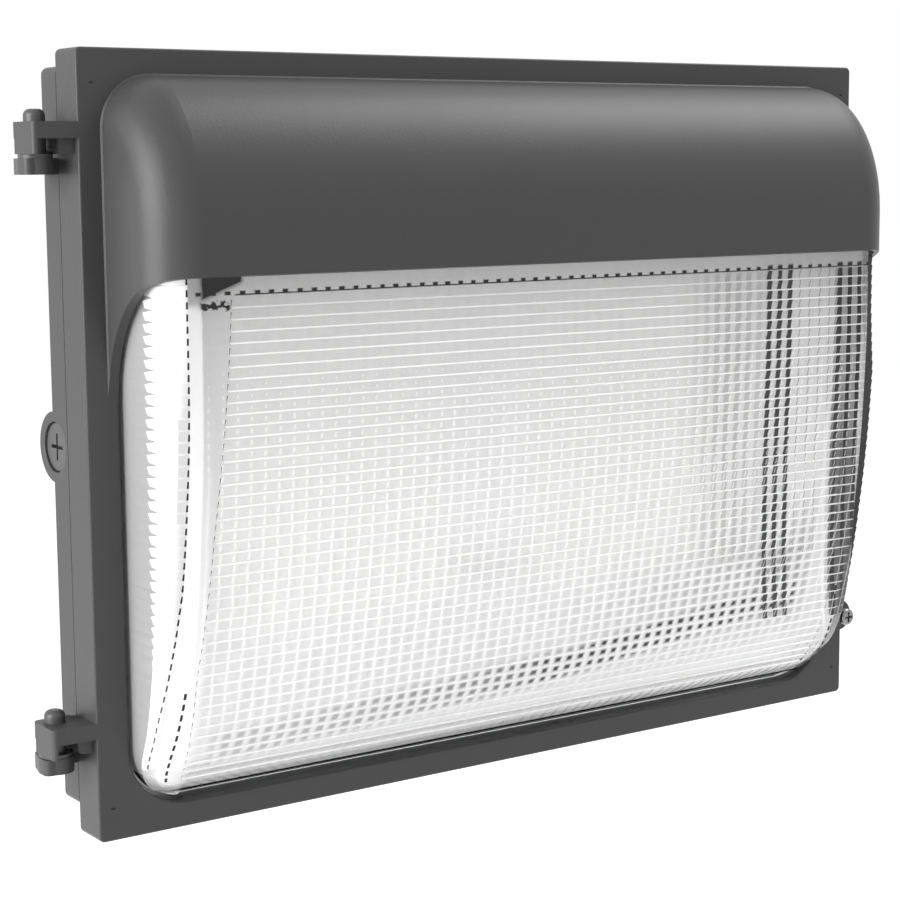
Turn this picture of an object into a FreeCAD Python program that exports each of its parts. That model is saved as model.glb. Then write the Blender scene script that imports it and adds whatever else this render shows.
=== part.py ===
"""Wall pack light: cast housing, hinged door with a hood, and a prismatic glass lens.

Frame: millimetres, +Z up. The origin is the centre of the flat wall face of the
housing. +Y points into the wall, so the front of the light faces -Y, and +X is to
the right of someone looking at the front.
"""
import FreeCAD, Part
import math
import os

V = FreeCAD.Vector
X_AXIS = V(1, 0, 0)
Y_AXIS = V(0, 1, 0)

# ---------------------------------------------------------------- door casting
DOOR_HALF_W = 200.0        # half width of the door frame
DOOR_HALF_H = 152.0        # half height of the door frame
DOOR_CORNER_R = 2.4
DOOR_DEPTH = 18.0          # from the seam with the housing to the front face
DOOR_FACE_T = 5.0          # thickness of the front border
DOOR_RIM_T = 4.0           # thickness of the rim that runs back to the seam
DOOR_EDGE_R = 0.8          # rounding of the front outline
SEAM_GAP = 0.4             # between the rim and the housing
DIMPLE_INSET_X = 6.0       # small cast marks near the corners of the face
DIMPLE_INSET_Z = 13.0
DIMPLE_W = 1.8
DIMPLE_H = 0.8
DIMPLE_DEPTH = 0.5

WINDOW_BORDER_SIDE = 13.5  # face of the door beside the opening that the lens looks out of
WINDOW_BORDER_LOW = 10.0
WINDOW_LOW_R = 25.0
WINDOW_EDGE_R = 0.8

HOOD_WALL = 3.8
HOOD_FRONT_WALL = 3.2
HOOD_BELOW_TOP = 10.0      # top of the hood, below the top of the door
HOOD_CURVE_H = 57.0        # height of the curved top, above the upright front
HOOD_REACH = 41.7          # how far the hood stands out of the face
HOOD_EDGE_R = 20.0         # rounding from the sides into the top and front
HOOD_INNER_R = 14.0        # the same inside the hood
HOOD_SWEEP_R = 48.0        # radius of the lower edge of the sides
HOOD_LENGTH = 122.0        # from the top of the hood down to where that edge leaves the face
HOOD_ROOT = 0.6            # small chamfer where the hood meets the face
HOOD_ROOT_SINK = 0.4       # the chamfer runs this far into the hood

# ---------------------------------------------------------------- housing casting
WALL_TO_SEAM = 40.0        # depth of the housing behind the seam
SKIRT_DEPTH = 13.0         # outer band of the housing behind the seam
SKIRT_TOP_IN = 6.4         # in from the top of the door
SKIRT_LOW_IN = 10.8        # in from the bottom of the door
SKIRT_CORNER_R = 3.0
HOUSING_WALL = 3.5
PAN_SIDE_IN = 13.5         # sides of the deep pan that stands on the wall, in from the door's
PAN_TOP_IN = 11.0
PAN_LOW_IN = 12.5
PAN_CORNER_R = 12.0
COLLAR_RISE = 2.3          # the pan's rim stands this far out of the seam

# ---------------------------------------------------------------- hinges
HINGE_OUT = 11.3           # pin centre, outwards from the side of the door
HINGE_BACK = 13.2          # pin centre, back from the front face
HINGE_UPPER_IN = 27.3      # top of the upper arm, below the top of the door
HINGE_LOWER_IN = 47.7      # top of the lower arm, above the bottom of the door
ARM_OUT = 18.0             # outer side of the hinge arm, from the side of the door
ARM_BACK = 19.5            # rear of the hinge arm, from the front face
ARM_PLATE_T = 6.2
ARM_RELIEF = 2.4           # keeps the rear of the arm off the housing as it turns
ARM_FRONT_R = 1.8          # rounding of the outer front corner
ARM_REAR_R = 3.0           # rounding of the outer rear corner of the plate
ARM_DROP = 5.7             # flange and block below the plate
ARM_FLANGE_T = 2.0
ARM_FLANGE_BACK = 16.6     # rear of the flange, from the front face
ARM_BLOCK_START = 3.0      # front of the block, back from the face
ARM_BLOCK_R = 2.5
ARM_BLOCK_OUT = 6.5
PIN_R = 4.1
PIN_DOME_R = 2.5
PIN_ABOVE_ARM = 4.8
PIN_FIT = 0.08             # running clearance in the door arm
PRESS_GAP = 0.02           # all round a pin that is pressed in
HINGE_WASHER_T = 1.5
HINGE_WASHER_R = 6.5
KNUCKLE_R = 6.9
KNUCKLE_T = 6.1
KNUCKLE_CHEEK = 6.2        # flat outer cheek, forwards from the pin
KNUCKLE_CHEEK_R = 2.5
KNUCKLE_WEB_FROM_SEAM = 0.8
KNUCKLE_WEB_DEPTH = 12.0
WEB_OUTER_X = 0.7          # corners of the web, in radii of the knuckle
WEB_OUTER_Y = 0.5
WEB_INNER_X = 0.8

# ---------------------------------------------------------------- closure screws
CLOSURE_OUT = 7.0          # screw centre, outwards from the side of the door
CLOSURE_IN = 36.0          # screw centre, in from the top and bottom of the door
LUG_R = 7.5
LUG_FRONT = 8.0            # lug face, back from the front face
LUG_WEB_T = 2.0            # the screw head bears on this
LUG_BORE_R = 4.4           # counterbore that the retaining ring travels in
CLOSURE_SCREW_R = 2.5
CLOSURE_HOLE_GAP = 0.3
CLOSURE_TIP_GAP = 0.45     # lets the tip leave the housing as the door swings
CLOSURE_HEAD_R = 4.1
CLOSURE_HEAD_H = 6.5
CLOSURE_HEAD_EDGE = 1.4
CLOSURE_SLOT_L = 5.0
CLOSURE_SLOT_W = 1.1
CLOSURE_SLOT_D = 1.6
CLOSURE_RING_R = 3.9
CLOSURE_RING_T = 1.0
CLOSURE_RING_IN = 0.2      # ring, in from the rear of the rim
CLOSURE_GROOVE_D = 0.5     # groove that holds the ring
HOUSING_LUG_T = 8.0
CLOSURE_ENGAGE = 5.0

# ---------------------------------------------------------------- conduit entries
ENTRY_BEHIND_SEAM = 11.7   # centre of the entry behind the seam
ENTRY_BOSS_R = 14.0
ENTRY_BOSS_L = 18.0
PLUG_R = 9.85
PLUG_FIT = 0.08
PLUG_L = 15.5
PLUG_SINK = 0.9
PLUG_EDGE_R = 0.8
ENTRY_CHAMFER = 0.2
PLUG_SLOT_HALF = 5.3
PLUG_SLOT_W = 1.4
PLUG_SLOT_D = 2.5
PLUG_SEAL_T = 1.8
PLUG_SEAL_DEPTH = 1.4
PLUG_SEAL_FROM_FACE = 5.0

# ---------------------------------------------------------------- lens and its seat
LENS_CLEARANCE = 2.0       # between the glass and the window
GLASS_T = 5.0
LENS_REACH = 37.5
LENS_TOP_GAP = 2.0         # below the inside of the hood
LENS_EDGE_R = 10.0
LENS_TOP_R = 14.0
LENS_UPRIGHT_H = 41.0      # upright part of the front, below the curved top
BOW_RADIUS = 640.0
CHIN_H = 42.0              # where the bow ends, above the bottom of the window
CHIN_RADIUS = 75.0
RIB_PITCH = 13.35          # main ribs of the front, one for every three fine ones
RIB_DEPTH = 0.9
RIB_SLOPE = 0.8            # part of the pitch that slopes in, before the ledge comes out
RIB_COUNT = 15
RIB_FIELD_IN = 28.5        # ends of the ribs, in from the sides of the glass
RIB_FIRST_Z = 22.0         # first rib, below the top of the upright front
FLANGE_LAP = 4.1           # flange beyond the window, at the sides
FLANGE_LAP_LOW = 3.3
FLANGE_LAP_TOP = 3.8
FLANGE_CORNER_R = 20.0
LENS_GASKET_T = 1.5
LENS_GASKET_LAP = 0.6
RETAINER_T = 1.2
RETAINER_GAP = 0.5         # inside the rim of the door
RETAINER_LIP = 1.0         # beyond the inside of the glass
RETAINER_SCREW_R = 1.5
RETAINER_SCREW_L = 6.0
RETAINER_HEAD_R = 2.7
RETAINER_HEAD_H = 1.8
RETAINER_BOSS_HALF = 3.2
RETAINER_BOSS_GAP = 0.3
RETAINER_HOLE_FLOOR = 0.5  # left in front of the blind holes
SIDE_SCREW_IN = 57.0       # outer screws of each side, in from the top and bottom of the door
TOP_SCREW_IN = 90.0        # outer screws of the top, in from the sides of the door
CORNER_SCREW_IN = 8.2      # lower corner screws, in from the rim
CORNER_SCREW_UP = 5.5
DOOR_GASKET_LAP = 0.8      # wider than the collar on each side
GASKET_GAP = 0.05

# ---------------------------------------------------------------- reflector and light engine
TRAY_T = 1.2
TRAY_GAP = 0.8             # inside the pan
TRAY_RIM_SINK = 0.5        # rim behind the collar
TRAY_DROP = 8.3            # flat behind the rim
TRAY_SLOPE_W = 22.0
PILLAR_R = 5.0
PILLAR_IN = 48.0           # outer pillars, in from the sides of the door
PILLAR_INSET_Z = 9.0       # in from the edge of the tray's flat
TRAY_SCREW_R = 2.0
TRAY_SCREW_L = 10.0
TRAY_HEAD_R = 3.8
TRAY_HEAD_H = 2.4
BOARD_T = 1.6
BOARD_INNER_X = 16.0
BOARD_SIDE_IN = 56.0       # outer edge of a board, in from the side of the door
BOARD_END_IN = 66.0        # half the height of a board is this much less than the door's
CHIP_COLUMNS = 7
CHIP_ROWS = 9
CHIP_SIDE = 5.0
CHIP_T = 1.0
CHIP_MARGIN_X = 14.0
CHIP_MARGIN_Z = 18.0
BOARD_SCREW_R = 1.5
BOARD_SCREW_L = 6.0
BOARD_HEAD_R = 2.7
BOARD_HEAD_H = 1.8
BOARD_SCREW_INSET = 5.5
CONNECTOR_W = 9.0
CONNECTOR_H = 9.0
CONNECTOR_T = 4.6
CONNECTOR_Z = -60.0
CONNECTOR_IN = 1.0         # in from the inner edge of the board
SCREW_CLEARANCE = 0.1
CROWN_PART = 0.45          # rounding of a pan head, in parts of its height
RECESS_HALF_L = 0.62       # cross recess of a pan head, in parts of its radius
RECESS_HALF_W = 0.12
RECESS_PART = 0.5          # depth of the recess, in parts of the head's height

# ---------------------------------------------------------------- driver and wiring
DRIVER_W = 150.0
DRIVER_H = 58.0
DRIVER_T = 22.0
DRIVER_IN = 52.0           # top of the driver, below the top of the door
DRIVER_EAR_W = 12.0
DRIVER_EAR_T = 2.0
DRIVER_EDGE_R = 2.0
DRIVER_SCREW_R = 2.0
DRIVER_SCREW_L = 5.0
DRIVER_HEAD_R = 3.6
DRIVER_HEAD_H = 2.2
DRIVER_PAD_T = 3.0         # cast pads that the driver stands on
TERMINAL_X = -110.0
TERMINAL_Z = -30.0
TERMINAL_W = 30.0
TERMINAL_H = 22.0
TERMINAL_T = 16.0
TERMINAL_SCREWS = 3
TERMINAL_SCREW_R = 2.4
TERMINAL_SCREW_SINK = 1.2
TERMINAL_SLOT_HALF_W = 0.4
TERMINAL_SLOT_D = 0.8
GROUND_X = -60.0
GROUND_Z = -60.0
GROUND_BOSS_R = 5.5
GROUND_BOSS_T = 5.0
GROUND_SCREW_R = 2.2
GROUND_SCREW_L = 6.0
GROUND_HEAD_R = 4.2
GROUND_HEAD_H = 2.6
LEAD_R = 1.1
LEAD_BEND_R = 6.0
LEAD_TURN_R = 3.0
LEAD_HALF_X = 3.0
LEAD_HALF_Z = 2.0
LEAD_FRONT_Y_IN = 7.0      # front pair of leads, in from the face of the driver
LEAD_BACK_Y_IN = 12.0
LEAD_LIFT = 2.2            # clear of the grommet in the tray
LEAD_HOLE_GAP = 0.15       # round a lead, in the grommet
GROMMET_R = 9.0
GROMMET_NECK_R = 7.2
GROMMET_LIP_T = 1.5
SUPPLY_PITCH = 9.0
SUPPLY_OUT = 12.0          # leads run this far in front of the floor of the housing
SUPPLY_BEND_R = 8.0

# ---------------------------------------------------------------- wall fixing
WALL_HOLE_R = 3.3
WALL_HOLE_SIDE_IN = 36.5   # in from the sides of the pan
WALL_HOLE_END_IN = 57.0    # in from the top and bottom of the door
BOX_HOLE_R = 2.6
BOX_HOLE_DX = 88.9
WIRE_ENTRY_Z = -25.0       # height of the wiring hole and the box holes beside it
WIRE_HOLE_R = 12.5
WALL_GROMMET_R = 15.0
WALL_GROMMET_BORE_R = 7.0
WALL_GROMMET_LIP_T = 2.0

# ---------------------------------------------------------------- places worked out from the sizes
Y_SEAM = -WALL_TO_SEAM
Y_FACE = Y_SEAM - DOOR_DEPTH
Y_FACE_BACK = Y_FACE + DOOR_FACE_T
Y_RIM_BACK = Y_SEAM - SEAM_GAP
Y_COLLAR = Y_SEAM - COLLAR_RISE
Y_SKIRT_BACK = Y_SEAM + SKIRT_DEPTH
Y_FLOOR = -HOUSING_WALL
Y_FLANGE = Y_FACE_BACK + LENS_GASKET_T
Y_FLANGE_BACK = Y_FLANGE + GLASS_T
Y_RETAINER_BACK = Y_FLANGE_BACK + RETAINER_T
Y_TRAY_RIM = Y_COLLAR + TRAY_RIM_SINK
Y_TRAY = Y_TRAY_RIM + TRAY_DROP
Y_TRAY_BACK = Y_TRAY + TRAY_T
Y_BOARD = Y_TRAY - BOARD_T
WINDOW_HALF_W = DOOR_HALF_W - WINDOW_BORDER_SIDE
WINDOW_LOW_Z = -DOOR_HALF_H + WINDOW_BORDER_LOW
HOOD_TOP_Z = DOOR_HALF_H - HOOD_BELOW_TOP
HOOD_SPRING_Z = HOOD_TOP_Z - HOOD_CURVE_H
HOOD_SWEEP_Z = HOOD_TOP_Z - HOOD_LENGTH
SKIRT_TOP_Z = DOOR_HALF_H - SKIRT_TOP_IN
SKIRT_LOW_Z = -DOOR_HALF_H + SKIRT_LOW_IN
PAN_HALF_W = DOOR_HALF_W - PAN_SIDE_IN
PAN_TOP_Z = DOOR_HALF_H - PAN_TOP_IN
PAN_LOW_Z = -DOOR_HALF_H + PAN_LOW_IN
HINGE_TOPS_Z = {"upper": DOOR_HALF_H - HINGE_UPPER_IN, "lower": -DOOR_HALF_H + HINGE_LOWER_IN}
CLOSURE_Z = DOOR_HALF_H - CLOSURE_IN
BOW_START_Z = HOOD_SPRING_Z - LENS_UPRIGHT_H
BOW_END_Z = WINDOW_LOW_Z + CHIN_H
SIDE_SCREWS_Z = (-DOOR_HALF_H + SIDE_SCREW_IN, 0.0, DOOR_HALF_H - SIDE_SCREW_IN)
TOP_SCREWS_X = (-DOOR_HALF_W + TOP_SCREW_IN, 0.0, DOOR_HALF_W - TOP_SCREW_IN)
PILLAR_X = (-DOOR_HALF_W + PILLAR_IN, 0.0, DOOR_HALF_W - PILLAR_IN)
WALL_HOLE_X = PAN_HALF_W - WALL_HOLE_SIDE_IN
WALL_HOLE_Z = DOOR_HALF_H - WALL_HOLE_END_IN
BOARD_W = DOOR_HALF_W - BOARD_SIDE_IN - BOARD_INNER_X
BOARD_H = 2 * (DOOR_HALF_H - BOARD_END_IN)
DRIVER_LOW_Z = DOOR_HALF_H - DRIVER_IN - DRIVER_H
X_PIN = -DOOR_HALF_W - HINGE_OUT
Y_PIN = Y_FACE + HINGE_BACK
X_CLOSURE = DOOR_HALF_W + CLOSURE_OUT
Y_LUG = Y_FACE + LUG_FRONT
Y_ENTRY = Y_SEAM + ENTRY_BEHIND_SEAM
LENS_HALF_W = WINDOW_HALF_W - LENS_CLEARANCE
LENS_LOW_Z = WINDOW_LOW_Z + LENS_CLEARANCE
WINDOW_TOP_Z = HOOD_TOP_Z - HOOD_WALL
LENS_TOP_Z = WINDOW_TOP_Z - LENS_TOP_GAP
PAN_CENTRE_Z = (PAN_TOP_Z + PAN_LOW_Z) / 2
CUT_PAST = 5.0             # cutting tools run this far past the faces that they open
CUT_JOIN_R = 1.0           # corner radius lost where two cuts of the window meet
Y_CLEAR_FRONT = Y_FACE - HOOD_REACH - CUT_PAST


# ---------------------------------------------------------------- basic shapes
def box(x0, x1, y0, y1, z0, z1):
    return Part.makeBox(x1 - x0, y1 - y0, z1 - z0, V(x0, y0, z0))


def rod(radius, start, end):
    """Round bar between two points."""
    along = end.sub(start)
    return Part.makeCylinder(radius, along.Length, start, along)


def along_y(radius, x, z, y0, y1):
    return rod(radius, V(x, y0, z), V(x, y1, z))


def outline_xz(half_w, low_z, top_z, low_r, top_r, y):
    """Closed outline in an upright plane, with its own radius at the top and the bottom."""
    w, lo, hi = half_w, low_z, top_z
    c = math.cos(math.pi / 4)

    def corner(cx, cz, r, sx, sz):
        start = V(cx + sx * r, y, cz)
        middle = V(cx + sx * r * c, y, cz + sz * r * c)
        end = V(cx, y, cz + sz * r)
        return start, middle, end

    right_top = corner(w - top_r, hi - top_r, top_r, 1, 1)
    left_top = corner(-w + top_r, hi - top_r, top_r, -1, 1)
    left_low = corner(-w + low_r, lo + low_r, low_r, -1, -1)
    right_low = corner(w - low_r, lo + low_r, low_r, 1, -1)
    edges = [
        Part.LineSegment(right_low[0], right_top[0]).toShape(),
        Part.Arc(*right_top).toShape(),
        Part.LineSegment(right_top[2], left_top[2]).toShape(),
        Part.Arc(left_top[2], left_top[1], left_top[0]).toShape(),
        Part.LineSegment(left_top[0], left_low[0]).toShape(),
        Part.Arc(*left_low).toShape(),
        Part.LineSegment(left_low[2], right_low[2]).toShape(),
        Part.Arc(right_low[2], right_low[1], right_low[0]).toShape(),
    ]
    return Part.Wire(edges)


def slab(half_w, low_z, top_z, y0, y1, low_r, top_r=None):
    """Rounded block that stands upright between two depths."""
    wire = outline_xz(half_w, low_z, top_z, low_r, low_r if top_r is None else top_r, y0)
    return Part.Face(wire).extrude(V(0, y1 - y0, 0))


def fillet_where(shape, radius, wanted):
    edges = [edge for edge in shape.Edges if wanted(edge)]
    return shape.makeFillet(radius, edges)


def lies_on(edge, axis, value):
    """True when both ends and the middle of an edge lie on a plane square to an axis."""
    middle = edge.valueAt((edge.FirstParameter + edge.LastParameter) / 2)
    points = [vertex.Point for vertex in edge.Vertexes] + [middle]
    return all(abs(getattr(point, axis) - value) < 1e-4 for point in points)


def quarter_ellipse(centre_y, centre_z, reach, rise):
    """Arc from straight above the centre to straight in front of it."""
    centre = V(0, centre_y, centre_z)
    ellipse = Part.Ellipse(V(0, centre_y, centre_z + rise), V(0, centre_y - reach, centre_z), centre)
    return Part.ArcOfEllipse(ellipse, 0, math.pi / 2).toShape()


def extrude_across(edges, half_w):
    """Profile in the plane X = 0, run out to both sides."""
    face = Part.Face(Part.Wire(Part.__sortEdges__(edges)))
    face.translate(V(-half_w, 0, 0))
    return face.extrude(V(2 * half_w, 0, 0))


def pan_screw(x, z, y_seat, head_r, head_h, shank_r, shank_l, facing=-1):
    """Pan head screw along Y: the head bears at y_seat and faces -Y, or +Y with facing 1."""
    head = along_y(head_r, x, z, y_seat, y_seat + facing * head_h)
    crown = [edge for edge in head.Edges if lies_on(edge, "y", y_seat + facing * head_h)]
    head = head.makeFillet(head_h * CROWN_PART, crown)
    shank = along_y(shank_r, x, z, y_seat, y_seat - facing * shank_l)
    screw = head.fuse(shank)
    for turn in (0, 90):
        slot = box(x - head_r * RECESS_HALF_L, x + head_r * RECESS_HALF_L, -1, 1,
                   z - head_r * RECESS_HALF_W, z + head_r * RECESS_HALF_W)
        slot.translate(V(0, y_seat + facing * (head_h * (1 - RECESS_PART) + 1), 0))
        slot.rotate(V(x, 0, z), Y_AXIS, turn)
        screw = screw.cut(slot)
    return screw


def fuse_all(shapes):
    result = shapes[0]
    for shape in shapes[1:]:
        result = result.fuse(shape)
    return result.removeSplitter()


def cut_all(shape, tools):
    for tool in tools:
        shape = shape.cut(tool)
    return shape


# ---------------------------------------------------------------- door
def hood_block(half_w, top_z, reach, edge_r, y_back):
    """Solid inside the hood's outer skin, or inside its wall for the smaller sizes."""
    y_front = Y_FACE - reach
    low_z = HOOD_SWEEP_Z
    arc = quarter_ellipse(Y_FACE, HOOD_SPRING_Z, reach, top_z - HOOD_SPRING_Z)
    corners = [
        V(0, y_front, HOOD_SPRING_Z),
        V(0, y_front, low_z),
        V(0, y_back, low_z),
        V(0, y_back, top_z),
        V(0, Y_FACE, top_z),
    ]
    sides = [
        Part.LineSegment(a, b).toShape()
        for a, b in zip(corners, corners[1:])
        if a.distanceToPoint(b) > 1e-6
    ]
    block = extrude_across([arc] + sides, half_w)

    def runs_round_the_hood(edge):
        on_side = lies_on(edge, "x", half_w) or lies_on(edge, "x", -half_w)
        at_back = lies_on(edge, "y", y_back)
        at_bottom = lies_on(edge, "z", low_z)
        return on_side and not at_back and not at_bottom

    return fillet_where(block, edge_r, runs_round_the_hood)


def hood_root():
    """Chamfered strip round the foot of the hood."""
    half_w = WINDOW_HALF_W + HOOD_WALL
    low_z = HOOD_SWEEP_Z + HOOD_ROOT
    wide = outline_xz(half_w + HOOD_ROOT, low_z, HOOD_TOP_Z + HOOD_ROOT, CUT_JOIN_R,
                      HOOD_EDGE_R + HOOD_ROOT, Y_FACE)
    sink = HOOD_ROOT_SINK
    narrow = outline_xz(half_w - sink, low_z, HOOD_TOP_Z - sink, CUT_JOIN_R, HOOD_EDGE_R - sink,
                        Y_FACE - HOOD_ROOT - sink)
    return Part.makeLoft([wide, narrow], True, True)


def hinge_arm(top_z):
    """Arm that reaches out from the left of the door and over the hinge pin."""
    x_side = -DOOR_HALF_W
    x_out = x_side - ARM_OUT
    y_back = Y_FACE + ARM_BACK
    plate = box(x_out, x_side + DOOR_RIM_T, Y_FACE, y_back, top_z - ARM_PLATE_T, top_z)
    plate = plate.cut(box(x_side - ARM_RELIEF, x_side + DOOR_RIM_T, Y_RIM_BACK, y_back,
                          top_z - ARM_PLATE_T, top_z))
    plate = fillet_where(plate, ARM_REAR_R,
                         lambda e: lies_on(e, "x", x_out) and lies_on(e, "y", y_back))
    z_low = top_z - ARM_PLATE_T - ARM_DROP
    flange = box(x_out, x_out + ARM_FLANGE_T, Y_FACE, Y_FACE + ARM_FLANGE_BACK, z_low, top_z)
    arm = plate.fuse(flange).removeSplitter()
    arm = fillet_where(arm, ARM_FRONT_R,
                       lambda e: lies_on(e, "x", x_out) and lies_on(e, "y", Y_FACE))
    x_block = x_side - ARM_BLOCK_OUT
    block = box(x_block, x_side + DOOR_RIM_T, Y_FACE + ARM_BLOCK_START, Y_RIM_BACK,
                z_low, top_z - ARM_PLATE_T)
    block = fillet_where(block, ARM_BLOCK_R,
                         lambda e: lies_on(e, "x", x_block) and lies_on(e, "z", z_low))
    arm = arm.fuse(block)
    bore = rod(PIN_R + PIN_FIT, V(X_PIN, Y_PIN, z_low - 1), V(X_PIN, Y_PIN, top_z + 1))
    return arm.cut(bore)


def lug_shape(side_z, y0, y1, x_root):
    """Round-ended tab on the right side."""
    tab = box(x_root, X_CLOSURE, y0, y1, side_z - LUG_R, side_z + LUG_R)
    return tab.fuse(along_y(LUG_R, X_CLOSURE, side_z, y0, y1))


def door_lug(side_z):
    x_root = DOOR_HALF_W - DOOR_RIM_T
    lug = lug_shape(side_z, Y_LUG, Y_RIM_BACK, x_root)
    hole = along_y(CLOSURE_SCREW_R + CLOSURE_HOLE_GAP, X_CLOSURE, side_z, Y_LUG - 1, Y_RIM_BACK + 1)
    bore = along_y(LUG_BORE_R, X_CLOSURE, side_z, Y_LUG + LUG_WEB_T, Y_RIM_BACK + 1)
    return lug.cut(hole).cut(bore)


def retainer_screw_places():
    """Centres of the screws that clamp the lens."""
    x_side = (flange_half_w() + DOOR_HALF_W - DOOR_RIM_T) / 2
    z_top = (flange_top_z() + DOOR_HALF_H - DOOR_RIM_T) / 2
    x_corner = DOOR_HALF_W - DOOR_RIM_T - CORNER_SCREW_IN
    z_corner = -DOOR_HALF_H + DOOR_RIM_T + CORNER_SCREW_UP
    places = [(side * x_side, z) for side in (-1, 1) for z in SIDE_SCREWS_Z]
    places += [(x, z_top) for x in TOP_SCREWS_X]
    places += [(side * x_corner, z_corner) for side in (-1, 1)]
    return places


def flange_half_w():
    return WINDOW_HALF_W + FLANGE_LAP


def flange_top_z():
    return WINDOW_TOP_Z + FLANGE_LAP_TOP


def flange_low_z():
    return WINDOW_LOW_Z - FLANGE_LAP_LOW


def retainer_bosses():
    """Cast bosses round the lens seat, square ones that join the rim and round ones in the corners."""
    x_rim = DOOR_HALF_W - DOOR_RIM_T
    z_rim = DOOR_HALF_H - DOOR_RIM_T
    x_in = flange_half_w() + RETAINER_BOSS_GAP
    z_in = flange_top_z() + RETAINER_BOSS_GAP
    half = RETAINER_BOSS_HALF
    bosses = []
    for z in SIDE_SCREWS_Z:
        bosses.append(box(x_in, x_rim, Y_FACE_BACK, Y_FLANGE_BACK, z - half, z + half))
        bosses.append(box(-x_rim, -x_in, Y_FACE_BACK, Y_FLANGE_BACK, z - half, z + half))
    for x in TOP_SCREWS_X:
        bosses.append(box(x - half, x + half, Y_FACE_BACK, Y_FLANGE_BACK, z_in, z_rim))
    for x, z in retainer_screw_places()[-2:]:
        bosses.append(along_y(half, x, z, Y_FACE_BACK, Y_FLANGE_BACK))
    return bosses


def door_frame():
    plate = slab(DOOR_HALF_W, -DOOR_HALF_H, DOOR_HALF_H, Y_FACE, Y_RIM_BACK, DOOR_CORNER_R)
    plate = fillet_where(plate, DOOR_EDGE_R, lambda e: lies_on(e, "y", Y_FACE))
    low_window = slab(WINDOW_HALF_W, WINDOW_LOW_Z, HOOD_SWEEP_Z, Y_FACE - 1, Y_FACE_BACK + 1,
                      WINDOW_LOW_R, CUT_JOIN_R)
    plate = plate.cut(low_window)

    def rounds_the_window(edge):
        inside = edge.BoundBox.XMax <= WINDOW_HALF_W + 1e-3 and edge.BoundBox.XMin >= -WINDOW_HALF_W - 1e-3
        below = edge.BoundBox.ZMax <= HOOD_SWEEP_Z - CUT_JOIN_R + 1e-3
        return lies_on(edge, "y", Y_FACE) and inside and below

    plate = fillet_where(plate, WINDOW_EDGE_R, rounds_the_window)
    hood = hood_block(WINDOW_HALF_W + HOOD_WALL, HOOD_TOP_Z, HOOD_REACH, HOOD_EDGE_R, Y_FACE)
    hood = hood.fuse(hood_root())
    sweep_y = Y_FACE - HOOD_SWEEP_R
    sweep_w = WINDOW_HALF_W + HOOD_WALL + HOOD_ROOT + CUT_PAST
    hood = hood.cut(rod(HOOD_SWEEP_R, V(-sweep_w, sweep_y, HOOD_SWEEP_Z), V(sweep_w, sweep_y, HOOD_SWEEP_Z)))
    x_rim = DOOR_HALF_W - DOOR_RIM_T
    z_rim = DOOR_HALF_H - DOOR_RIM_T
    pocket = slab(x_rim, -z_rim, z_rim, Y_FACE_BACK, Y_RIM_BACK + CUT_PAST, DOOR_CORNER_R - 1)
    high_window = hood_block(WINDOW_HALF_W, WINDOW_TOP_Z, HOOD_REACH - HOOD_FRONT_WALL,
                             HOOD_INNER_R, Y_FACE_BACK + 1)
    mid_window = box(-WINDOW_HALF_W, WINDOW_HALF_W, Y_FACE - 1, Y_FACE_BACK + 1,
                     HOOD_SWEEP_Z - 2 * CUT_JOIN_R, HOOD_SPRING_Z)
    door = fuse_all([plate, hood])
    door = cut_all(door, [pocket, high_window, mid_window])
    parts = [hinge_arm(top_z) for top_z in HINGE_TOPS_Z.values()]
    parts += [door_lug(side * CLOSURE_Z) for side in (-1, 1)]
    parts += retainer_bosses()
    door = fuse_all([door] + parts)
    screw_holes = [
        along_y(RETAINER_SCREW_R + SCREW_CLEARANCE, x, z, Y_FACE_BACK + RETAINER_HOLE_FLOOR,
                Y_FLANGE_BACK + 1)
        for x, z in retainer_screw_places()
    ]
    dimples = [
        box(x - DIMPLE_W / 2, x + DIMPLE_W / 2, Y_FACE - 1, Y_FACE + DIMPLE_DEPTH,
            z - DIMPLE_H / 2, z + DIMPLE_H / 2)
        for x in (-DOOR_HALF_W + DIMPLE_INSET_X, DOOR_HALF_W - DIMPLE_INSET_X)
        for z in (-DOOR_HALF_H + DIMPLE_INSET_Z, DOOR_HALF_H - DIMPLE_INSET_Z)
    ]
    return cut_all(door, screw_holes + dimples)


def on(centre, radius, angle):
    """Point on an arc of the lens, at an angle below straight ahead."""
    return centre.sub(V(0, math.cos(angle), math.sin(angle)) * radius)


def lens_arcs():
    """Centre of the bow, its angle, and the centre of the chin below it."""
    bow_centre = V(0, Y_FACE - LENS_REACH + BOW_RADIUS, BOW_START_Z)
    bow_angle = math.asin((BOW_START_Z - BOW_END_Z) / BOW_RADIUS)
    chin_centre = on(bow_centre, BOW_RADIUS - CHIN_RADIUS, bow_angle)
    return bow_centre, bow_angle, chin_centre


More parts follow.
